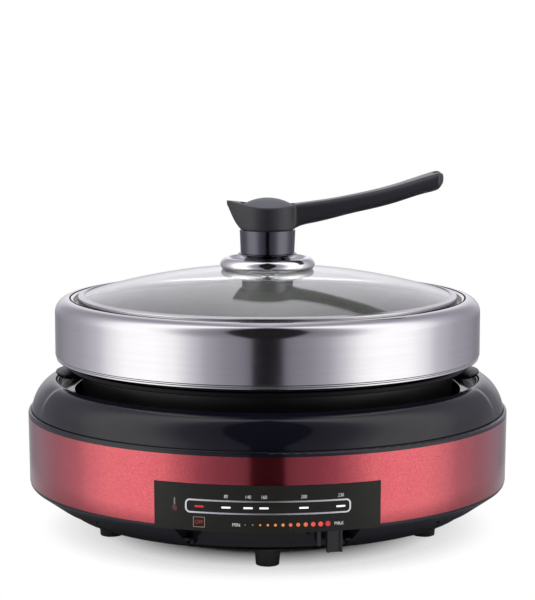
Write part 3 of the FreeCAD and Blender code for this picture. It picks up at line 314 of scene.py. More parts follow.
class Wiring:
    """Adds nodes to one tree and links them."""

    def __init__(self, tree: bpy.types.NodeTree) -> None:
        """Keeps the tree.

        Args:
            tree: Node tree to add to.
        """
        self.tree = tree

    def add(self, kind: str, inputs: dict | None = None, **settings: object) -> bpy.types.Node:
        """New node with its settings and input values or links.

        Args:
            kind: Blender's name of the node type.
            inputs: Input name or number to a value, or to an output socket that is linked to it.
            settings: Attributes of the node.

        Returns:
            The node.
        """
        node = self.tree.nodes.new(kind)
        for key, value in settings.items():
            setattr(node, key, value)
        for key, value in (inputs or {}).items():
            if isinstance(value, bpy.types.NodeSocket):
                self.tree.links.new(value, node.inputs[key])
            else:
                node.inputs[key].default_value = value
        return node

    def link(self, source: bpy.types.NodeSocket, target: bpy.types.NodeSocket) -> None:
        """Links an output to an input."""
        self.tree.links.new(source, target)

    def maths(self, operation: str, a: object, b: object = 0.0, c: object = 0.0, clamp: bool = False
              ) -> bpy.types.NodeSocket:
        """Result of a Math node on numbers or sockets."""
        return self.add("ShaderNodeMath", {0: a, 1: b, 2: c}, operation=operation, use_clamp=clamp).outputs[0]

    def vector(self, operation: str, a: object, b: object = (0.0, 0.0, 0.0)) -> bpy.types.NodeSocket:
        """Result of a Vector Math node on vectors or sockets: a number for DOT_PRODUCT and LENGTH."""
        node = self.add("ShaderNodeVectorMath", {0: a, 1: b}, operation=operation)
        return node.outputs["Value" if operation in ("DOT_PRODUCT", "LENGTH") else "Vector"]

    def spot(self) -> bpy.types.NodeSocket:
        """Point of the surface in the object's own axes."""
        return self.add("ShaderNodeTexCoord").outputs["Object"]

    def span(self, value: bpy.types.NodeSocket, low: float, high: float, to_low: float, to_high: float
             ) -> bpy.types.NodeSocket:
        """Value carried from one range to another and held there."""
        node = self.add("ShaderNodeMapRange", {"Value": value, "From Min": low, "From Max": high, "To Min": to_low,
                                               "To Max": to_high})
        return node.outputs["Result"]

    def noise(self, where: bpy.types.NodeSocket, scale: object, detail: float, roughness: float = 0.5
              ) -> bpy.types.NodeSocket:
        """Value of a noise texture at a point."""
        return self.add("ShaderNodeTexNoise", {"Vector": where, "Scale": scale, "Detail": detail,
                                               "Roughness": roughness}).outputs["Fac"]

    def blend(self, factor: object, first: object, second: object) -> bpy.types.NodeSocket:
        """Colour between two colours or sockets."""
        return self.add("ShaderNodeMix", {"Factor": factor, 6: first, 7: second}, data_type="RGBA").outputs[2]

    def effect(self, group: bpy.types.NodeTree, **numbers: float) -> bpy.types.bpy_prop_collection:
        """Outputs of a shared effect with its numbers set."""
        return self.add("ShaderNodeGroup", numbers, node_tree=group).outputs

    def relief(self, shader: bpy.types.Node, height: bpy.types.NodeSocket, depth: float) -> None:
        """Puts a relief on a shader's normal, its depth in millimetres."""
        bump = self.add("ShaderNodeBump", {"Height": height, "Strength": 1.0, "Distance": depth * MM})
        self.link(bump.outputs["Normal"], shader.inputs["Normal"])


GroupParts = tuple[bpy.types.NodeTree, Wiring, bpy.types.Node, bpy.types.Node]


def new_group(name: str, inputs: dict[str, float], outputs: dict[str, str]) -> GroupParts:
    """Empty shader group with named sockets.

    Args:
        name: Name of the group.
        inputs: Number inputs and their values.
        outputs: Output names and socket types.

    Returns:
        The tree, its wiring, the input node and the output node.
    """
    tree = bpy.data.node_groups.new(name, "ShaderNodeTree")
    for label, value in inputs.items():
        socket = tree.interface.new_socket(label, in_out="INPUT", socket_type="NodeSocketFloat")
        socket.default_value = value
    for label, kind in outputs.items():
        tree.interface.new_socket(label, in_out="OUTPUT", socket_type=kind)
    wiring = Wiring(tree)
    return tree, wiring, wiring.add("NodeGroupInput"), wiring.add("NodeGroupOutput")


class SharedEffects:
    """Surface effects that several finishes use, each built once as a node group."""

    def __init__(self) -> None:
        """Builds the groups."""
        self.moulded_skin = self._moulded_skin()
        self.round_brushing = self._round_brushing()
        self.handling = self._handling()
        self.dust = self._dust()

    @staticmethod
    def _moulded_skin() -> bpy.types.NodeTree:
        """Spark-eroded mould skin: two sizes of noise added as a height and a mask."""
        tree, w, gin, gout = new_group("moulded_skin", {"Scale": 3000.0, "Coarse": 0.4},
                                       {"Height": "NodeSocketFloat", "Mask": "NodeSocketFloat"})
        where = w.spot()
        fine = w.noise(where, gin.outputs["Scale"], 2.0)
        broad = w.noise(where, w.maths("MULTIPLY", gin.outputs["Scale"], 0.13), 3.0)
        w.link(w.maths("MULTIPLY_ADD", broad, gin.outputs["Coarse"], fine), gout.inputs["Height"])
        w.link(broad, gout.inputs["Mask"])
        return tree

    @staticmethod
    def _round_brushing() -> bpy.types.NodeTree:
        """Lines brushed round the vertical axis: noise that changes fast along the profile and slowly round it."""
        tree, w, gin, gout = new_group("round_brushing", {"Lines": 2200.0, "Length": 9.0},
                                       {"Height": "NodeSocketFloat", "Streak": "NodeSocketFloat"})
        where = w.spot()
        parts = w.add("ShaderNodeSeparateXYZ", {0: where})
        squares = w.maths("ADD", w.maths("MULTIPLY", parts.outputs[0], parts.outputs[0]),
                          w.maths("MULTIPLY", parts.outputs[1], parts.outputs[1]))
        along = w.maths("SUBTRACT", parts.outputs[2], w.maths("SQRT", squares))
        point = w.add("ShaderNodeCombineXYZ", {0: w.maths("MULTIPLY", parts.outputs[0], gin.outputs["Length"]),
                                               1: w.maths("MULTIPLY", parts.outputs[1], gin.outputs["Length"]),
                                               2: w.maths("MULTIPLY", along, gin.outputs["Lines"])}).outputs[0]
        fine = w.noise(point, 1.0, 3.0, 0.7)
        broad = w.noise(w.vector("MULTIPLY", point, (0.5, 0.5, 0.12)), 1.0, 2.0)
        w.link(fine, gout.inputs["Height"])
        w.link(w.maths("MULTIPLY_ADD", fine, 0.6, w.maths("MULTIPLY", broad, 0.4)), gout.inputs["Streak"])
        return tree

    @staticmethod
    def _handling() -> bpy.types.NodeTree:
        """Soft smudges left by hands and cloths: broad noise bent by a second noise."""
        tree, w, gin, gout = new_group("handling", {"Scale": 14.0}, {"Mask": "NodeSocketFloat"})
        where = w.spot()
        bend = w.add("ShaderNodeTexNoise", {"Vector": where, "Scale": 30.0, "Detail": 1.0})
        point = w.vector("ADD", where, w.vector("MULTIPLY", bend.outputs["Color"], (0.05, 0.05, 0.05)))
        smudge = w.noise(point, gin.outputs["Scale"], 5.0, 0.6)
        w.link(w.span(smudge, 0.42, 0.7, 0.0, 1.0), gout.inputs["Mask"])
        return tree

    @staticmethod
    def _dust() -> bpy.types.NodeTree:
        """Faint dust that settles on faces that look up, in specks and a thin film."""
        tree, w, gin, gout = new_group("settled_dust", {"Amount": 0.1}, {"Mask": "NodeSocketFloat"})
        where = w.spot()
        normal = w.add("ShaderNodeNewGeometry").outputs["Normal"]
        up = w.add("ShaderNodeSeparateXYZ", {0: normal}).outputs[2]
        flat = w.span(up, 0.3, 1.0, 0.0, 1.0)
        specks = w.noise(where, 900.0, 1.0)
        film = w.noise(where, 25.0, 3.0)
        spots = w.maths("ADD", w.span(specks, 0.62, 0.72, 0.0, 0.6), w.span(film, 0.4, 0.8, 0.0, 0.5))
        w.link(w.maths("MULTIPLY", w.maths("MULTIPLY", spots, flat), gin.outputs["Amount"], clamp=True),
               gout.inputs["Mask"])
        return tree


EFFECTS = SharedEffects()


def new_material(name: str) -> tuple[bpy.types.Material, Wiring, bpy.types.Node]:
    """Material with one Principled shader.

    Args:
        name: Name of the material.

    Returns:
        The material, its wiring and the shader node.
    """
    material = bpy.data.materials.new(name)
    material.use_nodes = True
    wiring = Wiring(material.node_tree)
    return material, wiring, material.node_tree.nodes["Principled BSDF"]


def shade(colour: Colour, factor: float = 1.0) -> tuple[float, float, float, float]:
    """Colour made lighter or darker, with full alpha."""
    return (*(min(part * factor, 1.0) for part in colour), 1.0)


@dataclass(frozen=True)
class Recipe:
    """What every finish has: a name and a way to make its material."""

    name: str

    def make(self) -> bpy.types.Material:
        """Builds the material.

        Returns:
            The finished material.
        """
        material, w, shader = new_material(self.name)
        self.wire(w, shader)
        return material

    def wire(self, w: Wiring, shader: bpy.types.Node) -> None:
        """Adds the finish's nodes and sets its shader; every finish has its own."""
        raise NotImplementedError


@dataclass(frozen=True)
class MouldedPlastic(Recipe):
    """Plastic, rubber or ceramic with a moulded skin, smudges and a little dust."""

    colour: Colour
    roughness: float
    skin: float = 3000.0
    depth: float = 0.004
    smudge: float = 0.08
    dust: float = 0.06
    level: float = 0.5
    dust_colour: Colour = (0.35, 0.34, 0.32)

    def wire(self, w: Wiring, shader: bpy.types.Node) -> None:
        """Skin in the colour and the relief, smudges in the roughness, dust in the colour and the roughness."""
        skin = w.effect(EFFECTS.moulded_skin, Scale=self.skin)
        hands = w.effect(EFFECTS.handling)["Mask"]
        dust = w.effect(EFFECTS.dust, Amount=self.dust)["Mask"]
        tone = w.blend(skin["Mask"], shade(self.colour, 0.85), shade(self.colour, 1.15))
        w.link(w.blend(dust, tone, shade(self.dust_colour)), shader.inputs["Base Color"])
        rough = w.maths("MULTIPLY_ADD", hands, self.smudge, self.roughness)
        w.link(w.maths("MULTIPLY_ADD", dust, 0.5, rough), shader.inputs["Roughness"])
        w.relief(shader, skin["Height"], self.depth)
        shader.inputs["Specular IOR Level"].default_value = self.level


@dataclass(frozen=True)
class CoatedPan(Recipe):
    """Sprayed non-stick coat: grey inside and black outside."""

    inside: Colour
    outside: Colour
    roughness: float
    depth: float = 0.006

    def wire(self, w: Wiring, shader: bpy.types.Node) -> None:
        """Tells the inside by its faces, which look to the axis or up, and mottles both with dark specks."""
        where = w.spot()
        normal = w.add("ShaderNodeNewGeometry").outputs["Normal"]
        inward = w.vector("NORMALIZE", w.vector("MULTIPLY", where, (-1.0, -1.0, 0.0)))
        to_axis = w.vector("DOT_PRODUCT", normal, inward)
        up = w.add("ShaderNodeSeparateXYZ", {0: normal}).outputs[2]
        share = w.span(w.maths("ADD", to_axis, up), -0.05, 0.05, 0.0, 1.0)
        tone = w.blend(share, shade(self.outside), shade(self.inside))
        specks = w.span(w.noise(where, 700.0, 3.0), 0.35, 0.65, 0.0, 0.25)
        w.link(w.blend(specks, tone, shade(self.outside, 1.5)), shader.inputs["Base Color"])
        hands = w.effect(EFFECTS.handling)["Mask"]
        w.link(w.maths("MULTIPLY_ADD", hands, 0.08, self.roughness), shader.inputs["Roughness"])
        w.relief(shader, w.effect(EFFECTS.moulded_skin)["Height"], self.depth)
        shader.inputs["Specular IOR Level"].default_value = 0.3


@dataclass(frozen=True)
class WorkedMetal(Recipe):
    """Metal with lines brushed round the axis, or a plain drawn or rolled skin."""

    colour: Colour
    roughness: float
    anisotropy: float = 0.0
    lines: float = 2200.0
    length: float = 9.0
    depth: float = 0.002
    streak: float = 0.12
    smudge: float = 0.05

    def wire(self, w: Wiring, shader: bpy.types.Node) -> None:
        """Streaks in the colour and the roughness, lines in the relief, smudges in the roughness."""
        brush = w.effect(EFFECTS.round_brushing, Lines=self.lines, Length=self.length)
        hands = w.effect(EFFECTS.handling)["Mask"]
        w.link(w.blend(brush["Streak"], shade(self.colour, 1 - self.streak), shade(self.colour, 1 + self.streak)),
               shader.inputs["Base Color"])
        rough = w.maths("MULTIPLY_ADD", hands, self.smudge, self.roughness)
        w.link(w.maths("MULTIPLY_ADD", brush["Streak"], self.streak * 0.4, rough), shader.inputs["Roughness"])
        w.relief(shader, brush["Height"], self.depth)
        shader.inputs["Metallic"].default_value = 1.0
        shader.inputs["Anisotropic"].default_value = self.anisotropy


@dataclass(frozen=True)
class BandLacquer(Recipe):
    """Metallic lacquer: fine flakes in a red base under a clear coat."""

    colour: Colour
    flake: Colour
    roughness: float
    metallic: float
    coat_roughness: float
    depth: float = 0.004

    def wire(self, w: Wiring, shader: bpy.types.Node) -> None:
        """Flakes in the colour, smudges in the roughness, and the coat's faint peel in the relief."""
        where = w.spot()
        flakes = w.add("ShaderNodeTexVoronoi", {"Vector": where, "Scale": 4200.0}).outputs["Color"]
        bright = w.add("ShaderNodeSeparateColor", {0: flakes}).outputs[0]
        w.link(w.blend(bright, shade(self.colour), shade(self.flake)), shader.inputs["Base Color"])
        hands = w.effect(EFFECTS.handling)["Mask"]
        w.link(w.maths("MULTIPLY_ADD", hands, 0.02, self.roughness), shader.inputs["Roughness"])
        w.relief(shader, w.noise(where, 260.0, 2.0), self.depth)
        shader.inputs["Metallic"].default_value = self.metallic
        shader.inputs["Coat Weight"].default_value = 1.0
        shader.inputs["Coat Roughness"].default_value = self.coat_roughness
        shader.inputs["Coat IOR"].default_value = 1.5


@dataclass(frozen=True)
class ClearGlass(Recipe):
    """Tempered glass with a faint tint and a trace of wiping marks."""

    colour: Colour
    roughness: float = 0.0

    def wire(self, w: Wiring, shader: bpy.types.Node) -> None:
        """Wiping marks, faint in the colour and the roughness."""
        hands = w.effect(EFFECTS.handling)["Mask"]
        w.link(w.blend(hands, shade(self.colour), shade(self.colour, 0.985)), shader.inputs["Base Color"])
        w.link(w.maths("MULTIPLY_ADD", hands, 0.01, self.roughness), shader.inputs["Roughness"])
        shader.inputs["Transmission Weight"].default_value = 1.0
        shader.inputs["IOR"].default_value = 1.5


@dataclass(frozen=True)
class Ink(Recipe):
    """Screen-printed ink with a slightly uneven film."""

    colour: Colour
    roughness: float = 0.35

    def wire(self, w: Wiring, shader: bpy.types.Node) -> None:
        """Uneven film in the colour and the roughness."""
        film = w.noise(w.spot(), 1800.0, 2.0)
        w.link(w.blend(film, shade(self.colour, 0.9), shade(self.colour, 1.06)), shader.inputs["Base Color"])
        w.link(w.maths("MULTIPLY_ADD", film, 0.1, self.roughness), shader.inputs["Roughness"])


class Finish(Enum):
    """Every finish of the hot pot, each a recipe for one material."""

    SATIN_BLACK = MouldedPlastic("satin_black", (0.010, 0.010, 0.013), 0.30, depth=0.005, dust=0.03)
    TRAY_BLACK = MouldedPlastic("tray_black", (0.004, 0.004, 0.006), 0.10, skin=1500.0, depth=0.0012, dust=0.01,
                                level=0.35)
    DEEP_BLACK = MouldedPlastic("deep_black", (0.003, 0.003, 0.004), 0.32, depth=0.004, dust=0.01, level=0.12)
    GLOSS_BLACK = MouldedPlastic("gloss_black", (0.002, 0.002, 0.004), 0.05, skin=900.0, depth=0.0005, smudge=0.04,
                                 dust=0.01, level=0.4)
    STEM_BLACK = WorkedMetal("stem_black", (0.105, 0.105, 0.125), 0.12, depth=0.0003, streak=0.03)
    HANDLE_BLACK = MouldedPlastic("handle_black", (0.009, 0.009, 0.012), 0.34, depth=0.008, smudge=0.06, dust=0.02)
    CAP_GREY = MouldedPlastic("cap_grey", (0.035, 0.036, 0.044), 0.46, depth=0.010)
    PANEL_BLACK = MouldedPlastic("panel_black", (0.007, 0.007, 0.006), 0.22, skin=2200.0, depth=0.001, dust=0.01,
                                 level=0.18)
    FOOT_RUBBER = MouldedPlastic("foot_rubber", (0.022, 0.022, 0.022), 0.7, skin=1400.0, depth=0.02)
    SILICONE = MouldedPlastic("silicone", (0.55, 0.56, 0.58), 0.45, depth=0.006)
    CERAMIC = MouldedPlastic("ceramic", (0.74, 0.72, 0.66), 0.5, skin=1800.0, depth=0.012)
    LEAD_SLEEVE = MouldedPlastic("lead_sleeve", (0.70, 0.68, 0.62), 0.75, skin=5000.0, depth=0.05)
    NON_STICK = CoatedPan("non_stick", (0.20, 0.20, 0.185), (0.006, 0.006, 0.007), 0.30)
    BRUSHED_STEEL = WorkedMetal("brushed_steel", (0.64, 0.625, 0.64), 0.10, depth=0.0010, streak=0.10)
    BRIGHT_STEEL = WorkedMetal("bright_steel", (0.66, 0.65, 0.66), 0.16, anisotropy=0.3, depth=0.0008, streak=0.06)
    CHROME = WorkedMetal("chrome", (0.80, 0.79, 0.80), 0.05, depth=0.0002, streak=0.02, smudge=0.03)
    ZINC = WorkedMetal("zinc", (0.56, 0.57, 0.60), 0.36, lines=900.0, length=300.0, depth=0.004)
    SPRING_STEEL = WorkedMetal("spring_steel", (0.45, 0.45, 0.46), 0.3, lines=1200.0, length=500.0)
    HEATER_SHEATH = WorkedMetal("heater_sheath", (0.12, 0.115, 0.115), 0.5, lines=500.0, length=300.0, depth=0.01)
    ALUMINIUM = WorkedMetal("sensor_aluminium", (0.72, 0.72, 0.73), 0.32, lines=1500.0)
    BRASS = WorkedMetal("brass", (0.72, 0.52, 0.24), 0.28, lines=900.0, length=200.0)
    RED_LACQUER = BandLacquer("red_lacquer", (0.31, 0.012, 0.018), (0.62, 0.095, 0.120), 0.09, 0.98, 0.02)
    CLEAR_GLASS = ClearGlass("clear_glass", (0.97, 0.985, 0.98))
    LAMP_GLASS = ClearGlass("lamp_glass", (0.95, 0.60, 0.42), 0.08)
    LENS = ClearGlass("clear_lens", (0.92, 0.22, 0.16), 0.12)
    WHITE_INK = Ink("white_ink", (0.60, 0.60, 0.60))
    SILVER_INK = WorkedMetal("silver_ink", (0.95, 0.95, 0.96), 0.22, lines=1800.0, length=300.0, depth=0.0004)
    GREY_INK = Ink("grey_ink", (0.10, 0.10, 0.10))
    FAINT_INK = Ink("faint_ink", (0.17, 0.12, 0.09))
    RED_INK = Ink("red_ink", (0.36, 0.004, 0.010))
    ORANGE_INK = Ink("orange_ink", (0.44, 0.15, 0.035))
    DEEP_ORANGE_INK = Ink("deep_orange_ink", (0.42, 0.085, 0.025))
    WARM_RED_INK = Ink("warm_red_ink", (0.46, 0.035, 0.02))


class FinishShelf:
    """Makes each finish once and lends it to the pieces."""

    def __init__(self) -> None:
        """Starts with no finish made."""
        self._made: dict[Finish, bpy.types.Material] = {}

    def take(self, finish: Finish) -> bpy.types.Material:
        """The finish's material, made at its first use."""
        if finish not in self._made:
            self._made[finish] = finish.value.make()
        return self._made[finish]

    def dress(self, piece: bpy.types.Object, finish: Finish) -> None:
        """Gives a piece one finish in place of all that it has."""
        piece.data.materials.clear()
        piece.data.materials.append(self.take(finish))


@dataclass
class Assembly:
    """A group of pieces that ride on one body of the frame."""

    shelf: FinishShelf
    body: str

    def keep(self, finish: Finish, *nodes: str) -> None:
        """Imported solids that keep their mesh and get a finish."""
        for node in nodes:
            self.shelf.dress(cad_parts[node], finish)
            LOG.info("solid %s: %s", node, finish.name.lower())

    def place(self, piece: bpy.types.Object, finish: Finish, slot: str, *replaced: str) -> None:
        """A new piece is dressed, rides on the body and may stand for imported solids."""
        self.shelf.dress(piece, finish)
        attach(piece, self.body)
        if replaced:
            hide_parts(*replaced)
        LOG.info("piece %s: %s", piece.name, finish.name.lower())


@dataclass
class HeatingBase(Assembly):
    """Black shell with the red band, and what the shell holds."""

    body: str = "base"
    skirt: float = 86.0
    wall: float = 177.2
    widest: float = 91.7
    crest: float = 114.5
    crest_radius: float = 159.6
    roll: float = 3.0
    ledge: float = 106.0
    opening: float = 145.0
    rim_low: float = 102.1
    sheet: float = 2.5
    scoop_half_deg: float = 22.0
    scoop_edge_deg: float = 1.6
    scoop_power: float = 1.7

    def _bulge(self, inset: float, power: Array, steps: int = 28) -> tuple[Array, Array]:
        """Shoulder's line from its widest point to its crest.

        With t from 0 to a quarter turn, the radius is the crest's plus the run times cos(t) to the power 2/p and
        the height is the widest point's plus the rise times sin(t) to the power 2/p. p = 2 is an ellipse, and a
        smaller p is flatter.

        Args:
            inset: Distance inside the outer face in millimetres.
            power: Column of p, one for each angle round the base.
            steps: Number of runs along the line.

        Returns:
            Radii and heights, one row for each angle.
        """
        t = np.linspace(0.0, math.pi / 2, steps + 1)[None, :]
        run, rise = self.wall - self.crest_radius - inset, self.crest - self.widest - inset
        return (self.crest_radius + run * np.abs(np.cos(t)) ** (2 / power),
                self.widest + rise * np.sin(t) ** (2 / power))

    def _shoulder(self, count: int = 360) -> bpy.types.Object:
        """Moulded shoulder with a finger scoop at each side, as one closed surface.

        Args:
            count: Number of angles round the circle.

        Returns:
            The new object.
        """
        angle = np.arange(count) * (2 * math.pi / count)
        from_side = np.degrees(np.arccos(np.clip(np.abs(np.sin(angle)), 0.0, 1.0)))
        share = np.clip((self.scoop_half_deg - from_side) / self.scoop_edge_deg + 0.5, 0.0, 1.0)[:, None]
        power = 2.0 - (2.0 - self.scoop_power) * share * share * (3 - 2 * share)
        outer_r, outer_z = self._bulge(0.0, power)
        inner_r, inner_z = self._bulge(self.sheet, np.full_like(power, self.scoop_power))
        turn = np.linspace(0.0, math.pi / 2, 7)[1:]
        roll = np.column_stack([self.crest_radius - self.roll * np.sin(turn),
                                self.crest - self.roll * (1 - np.cos(turn))])
        well = rounded_profile([(self.crest_radius - self.roll, self.crest - self.roll - 0.4, 0.0),
                                (self.crest_radius - self.roll, self.ledge, 0.8), (self.opening, self.ledge, 0.5),
                                (self.opening, self.rim_low, 0.3), (self.opening + 2.2, self.rim_low, 0.3),
                                (self.opening + 2.2, self.ledge - self.sheet, 0.5),
                                (self.crest_radius, self.ledge - self.sheet, 0.0)], Turn.OPEN, 4)
        fixed = np.vstack([roll, well])
        middle_r, middle_z = (np.broadcast_to(fixed[:, i], (count, len(fixed))) for i in (0, 1))
        foot = np.full((count, 1), self.wall)
        low = np.full((count, 1), self.skirt)
        radius = np.hstack([foot, outer_r, middle_r, inner_r[:, ::-1], foot - self.sheet])
        height = np.hstack([low, outer_z, middle_z, inner_z[:, ::-1], low])
        return mesh_piece("shoulder", around(radius, angle[:, None], height),
                          grid_faces(count, radius.shape[1], True, True))

    def build(self) -> None:
        """Dresses the shell and its inner pieces, and adds the moulded shoulder."""
        self.place(self._shoulder(), Finish.GLOSS_BLACK, "gloss_black", "top_cover")
        self.keep(Finish.TRAY_BLACK, "lower_tray")
        self.keep(Finish.FOOT_RUBBER, *[f"foot_{i}" for i in range(1, 6)])
        self.keep(Finish.RED_LACQUER, "red_band")
        self.keep(Finish.GLOSS_BLACK, "trim_ring")
        self.keep(Finish.PANEL_BLACK, "control_panel")
        self.keep(Finish.SATIN_BLACK, "lamp_holder", "power_inlet")
        self.keep(Finish.LENS, "lamp_lens")
        self.keep(Finish.LAMP_GLASS, "pilot_lamp")
        self.keep(Finish.BRIGHT_STEEL, "reflector_dish", "element_clips", "sensor_guide")
        self.keep(Finish.HEATER_SHEATH, "heater_element")
        self.keep(Finish.CERAMIC, "element_bushes", "thermostat_body", "thermal_fuse", "terminal_block")
        self.keep(Finish.ZINC, "foot_screws", "cover_screws", "dish_screws", "bracket_screws", "inlet_screws",
                  "thermostat_bracket", "fuse_clip")
        self.keep(Finish.SPRING_STEEL, "sensor_spring")
        self.keep(Finish.BRASS, "inlet_pins")
        self.keep(Finish.LEAD_SLEEVE, "supply_leads", "heater_leads")


@dataclass
class SensorCap(Assembly):
    """Sprung cap under the pan."""

    body: str = "sensor"

    def build(self) -> None:
        """Dresses the cap."""
        self.keep(Finish.ALUMINIUM, "sensor_plunger")


@dataclass
class HeatLever(Assembly):
    """Temperature lever and the spindle that it turns."""

    body: str = "lever"

    def build(self) -> None:
        """Dresses the lever's solids."""
        self.keep(Finish.SATIN_BLACK, "lever_tab")
        self.keep(Finish.ZINC, "lever_arm")
        self.keep(Finish.BRASS, "spindle")
        self.keep(Finish.SPRING_STEEL, "spindle_clip")


@dataclass
class PanelPrint(Assembly):
    """Generic scale printed on the control panel."""

    body: str = "base"
    wall: float = 180.0
    film: float = 0.06
    thinner: float = -0.07
    capital_share: float = 0.70
    narrowing: float = 0.86
    longest_step: float = 1.5
    frame_place: tuple[float, float] = (0.35, 53.75)
    frame_size: tuple[float, float, float] = (113.6, 9.6, 3.4)
    frame_line: float = 1.1
    marks_z: float = 53.6
    mark_size: tuple[float, float, float] = (6.3, 1.25, 0.4)
    marks: tuple[tuple[str, float], ...] = (("", -14.8), ("80", -8.9), ("140", -4.15), ("160", -0.75), ("200", 7.8),
                                            ("230", 15.9))
    numbers_z: float = 61.2
    numbers_tall: float = 2.3
    words_z: float = 42.0
    words_tall: float = 2.5
    dots_z: float = 42.1
    dots_from: float = -4.8
    dots_to: float = 13.05
    dots_radius: tuple[float, float] = (0.45, 1.8)
    off_deg: float = -14.85
    off_z: float = 42.9
    off_tall: float = 2.7
    off_box: tuple[float, float, float] = (8.2, 7.2, 0.4)
    off_box_inside: tuple[float, float, float] = (7.5, 6.5, 0.3)
    sign_deg: float = -20.4
    sign_z: float = 56.2
    sign_size: tuple[float, float, float] = (1.0, 5.0, 0.5)

    def _patch(self, name: str, outline: Array, inner: Array | None = None) -> bpy.types.Object:
        """Thin ink film from an outline, wrapped on the panel.

        Args:
            name: Name of the piece.
            outline: Columns s and z of the outer edge, in order.
            inner: The same number of points along an inner edge, or None for a full patch.

        Returns:
            The new object.
        """
        count = len(outline)
        nxt = (np.arange(count) + 1) % count
        top = np.column_stack([outline, np.full(count, self.film)])
        foot = np.column_stack([outline, np.full(count, -self.film)])
        if inner is None:
            centre = outline.mean(axis=0)
            points = np.vstack([top, foot, [[*centre, self.film], [*centre, -self.film]]])
            faces = []
            for a, b in enumerate(nxt):
                faces += [[a, b, 2 * count], [b + count, a + count, 2 * count + 1], [a + count, b + count, b, a]]
        else:
            top_in = np.column_stack([inner, np.full(count, self.film)])
            foot_in = np.column_stack([inner, np.full(count, -self.film)])
            points = np.vstack([top, foot, top_in, foot_in])
            faces = []
            for a, b in ((0, 2), (2, 3), (3, 1), (1, 0)):
                first, second = a * count, b * count
                faces += [[first + i, first + j, second + j, second + i] for i, j in zip(range(count), nxt)]
        return mesh_piece(name, on_cylinder(points, self.wall), [[int(v) for v in f] for f in faces], smooth=False)

    def _place_deg(self, degrees: float) -> float:
        """Distance along the wall at an angle from the front."""
        return math.radians(degrees) * self.wall

    @staticmethod
    def _rounded_box(s: float, z: float, width: float, height: float, radius: float, count: int = 160) -> Array:
        """Outline of a rounded box, by even steps along a superposed circle and box.

        Each point is a corner circle's point pushed out to the box: its centre is the box's half size less the
        radius, with the sign of the angle's cosine and sine.
        """
        angle = (np.arange(count) + 0.5) * (2 * math.pi / count)
        c, q = np.cos(angle), np.sin(angle)
        corner_s = np.sign(c) * (width / 2 - radius)
        corner_z = np.sign(q) * (height / 2 - radius)
        return np.column_stack([s + corner_s + radius * c, z + corner_z + radius * q])

    def _long_box(self, s: float, z: float, width: float, height: float, radius: float) -> Array:
        """Outline of a long rounded box with many points on its long sides, so that it bends with the wall."""
        box = self._rounded_box(s, z, width, height, radius, 64)
        pieces = []
        for a, b in zip(box, np.roll(box, -1, axis=0)):
            steps = max(1, int(np.linalg.norm(b - a) / self.longest_step))
            pieces.append(a + (b - a) * (np.arange(steps) / steps)[:, None])
        return np.vstack(pieces)

    def _print(self, name: str, outline: Array, finish: Finish, inner: Array | None = None) -> None:
        """One ink patch, placed on the panel."""
        self.place(self._patch(name, outline, inner), finish, "panel_black")

    def _word(self, name: str, text: str, degrees: float, z: float, height: float, finish: Finish) -> None:
        """Generic words or numbers, made a mesh and wrapped on the panel.

        Args:
            name: Name of the piece.
            text: Letters or figures.
            degrees: Middle of the text, as an angle from the front.
            z: Middle of the text's height.
            height: Height of a capital in millimetres.
            finish: Ink of the text.
        """
        curve = bpy.data.curves.new(name, "FONT")
        curve.body = text
        curve.align_x = "CENTER"
        curve.size = height / self.capital_share
        curve.resolution_u = 4
        curve.extrude = self.film
        curve.offset = self.thinner
        holder = show(name, curve)
        bpy.context.view_layer.update()
        mesh = bpy.data.meshes.new_from_object(holder.evaluated_get(bpy.context.evaluated_depsgraph_get()))
        bpy.data.objects.remove(holder)
        points = np.zeros(len(mesh.vertices) * 3)
        mesh.vertices.foreach_get("co", points)
        points = points.reshape(-1, 3)
        middle = 0.5 * (points[:, 1].min() + points[:, 1].max())
        flat = np.column_stack([points[:, 0] * self.narrowing + self._place_deg(degrees),
                                points[:, 1] - middle + z, points[:, 2]])
        wrapped = on_cylinder(flat, self.wall) * MM
        mesh.vertices.foreach_set("co", wrapped.ravel())
        mesh.update()
        self.place(show(name, mesh), finish, "panel_black")

    def build(self) -> None:
        """Prints the frame, the marks, the numbers, the dots and the lamp's sign."""
        width, height, corner = self.frame_size
        line = self.frame_line
        outer = self._long_box(*self.frame_place, width, height, corner)
        inner = self._long_box(*self.frame_place, width - 2 * line, height - 2 * line, corner - line)
        count = min(len(outer), len(inner))
        outer, inner = (edge[np.linspace(0, len(edge), count, endpoint=False).astype(int)] for edge in (outer, inner))
        self._print("print_frame", outer, Finish.SILVER_INK, inner)
        for i, (label, degrees) in enumerate(self.marks):
            bar = self._rounded_box(self._place_deg(degrees), self.marks_z, *self.mark_size, 48)
            self._print(f"print_mark_{i}", bar, Finish.WHITE_INK if label else Finish.RED_INK)
        for label, degrees in self.marks[1:]:
            self._word(f"print_number_{label}", label, degrees, self.numbers_z, self.numbers_tall, Finish.WHITE_INK)
        for label, degrees in (("MIN", -6.7), ("MAX", 15.5)):
            self._word(f"print_{label.lower()}", label, degrees, self.words_z, self.words_tall, Finish.WHITE_INK)
        self._word("print_off", "OFF", self.off_deg, self.off_z, self.off_tall, Finish.RED_INK)
        s = self._place_deg(self.off_deg)
        self._print("print_off_box", self._rounded_box(s, self.off_z, *self.off_box, 64), Finish.FAINT_INK,
                    self._rounded_box(s, self.off_z, *self.off_box_inside, 64))
        inks = ([Finish.GREY_INK] * 2 + [Finish.ORANGE_INK] * 4 + [Finish.DEEP_ORANGE_INK] * 3
                + [Finish.WARM_RED_INK] * 2 + [Finish.RED_INK])
        smallest, largest = self.dots_radius
        angle = np.arange(32) * (2 * math.pi / 32)
        for i, ink in enumerate(inks):
            share = i / (len(inks) - 1)
            degrees = self.dots_from + share * (self.dots_to - self.dots_from)
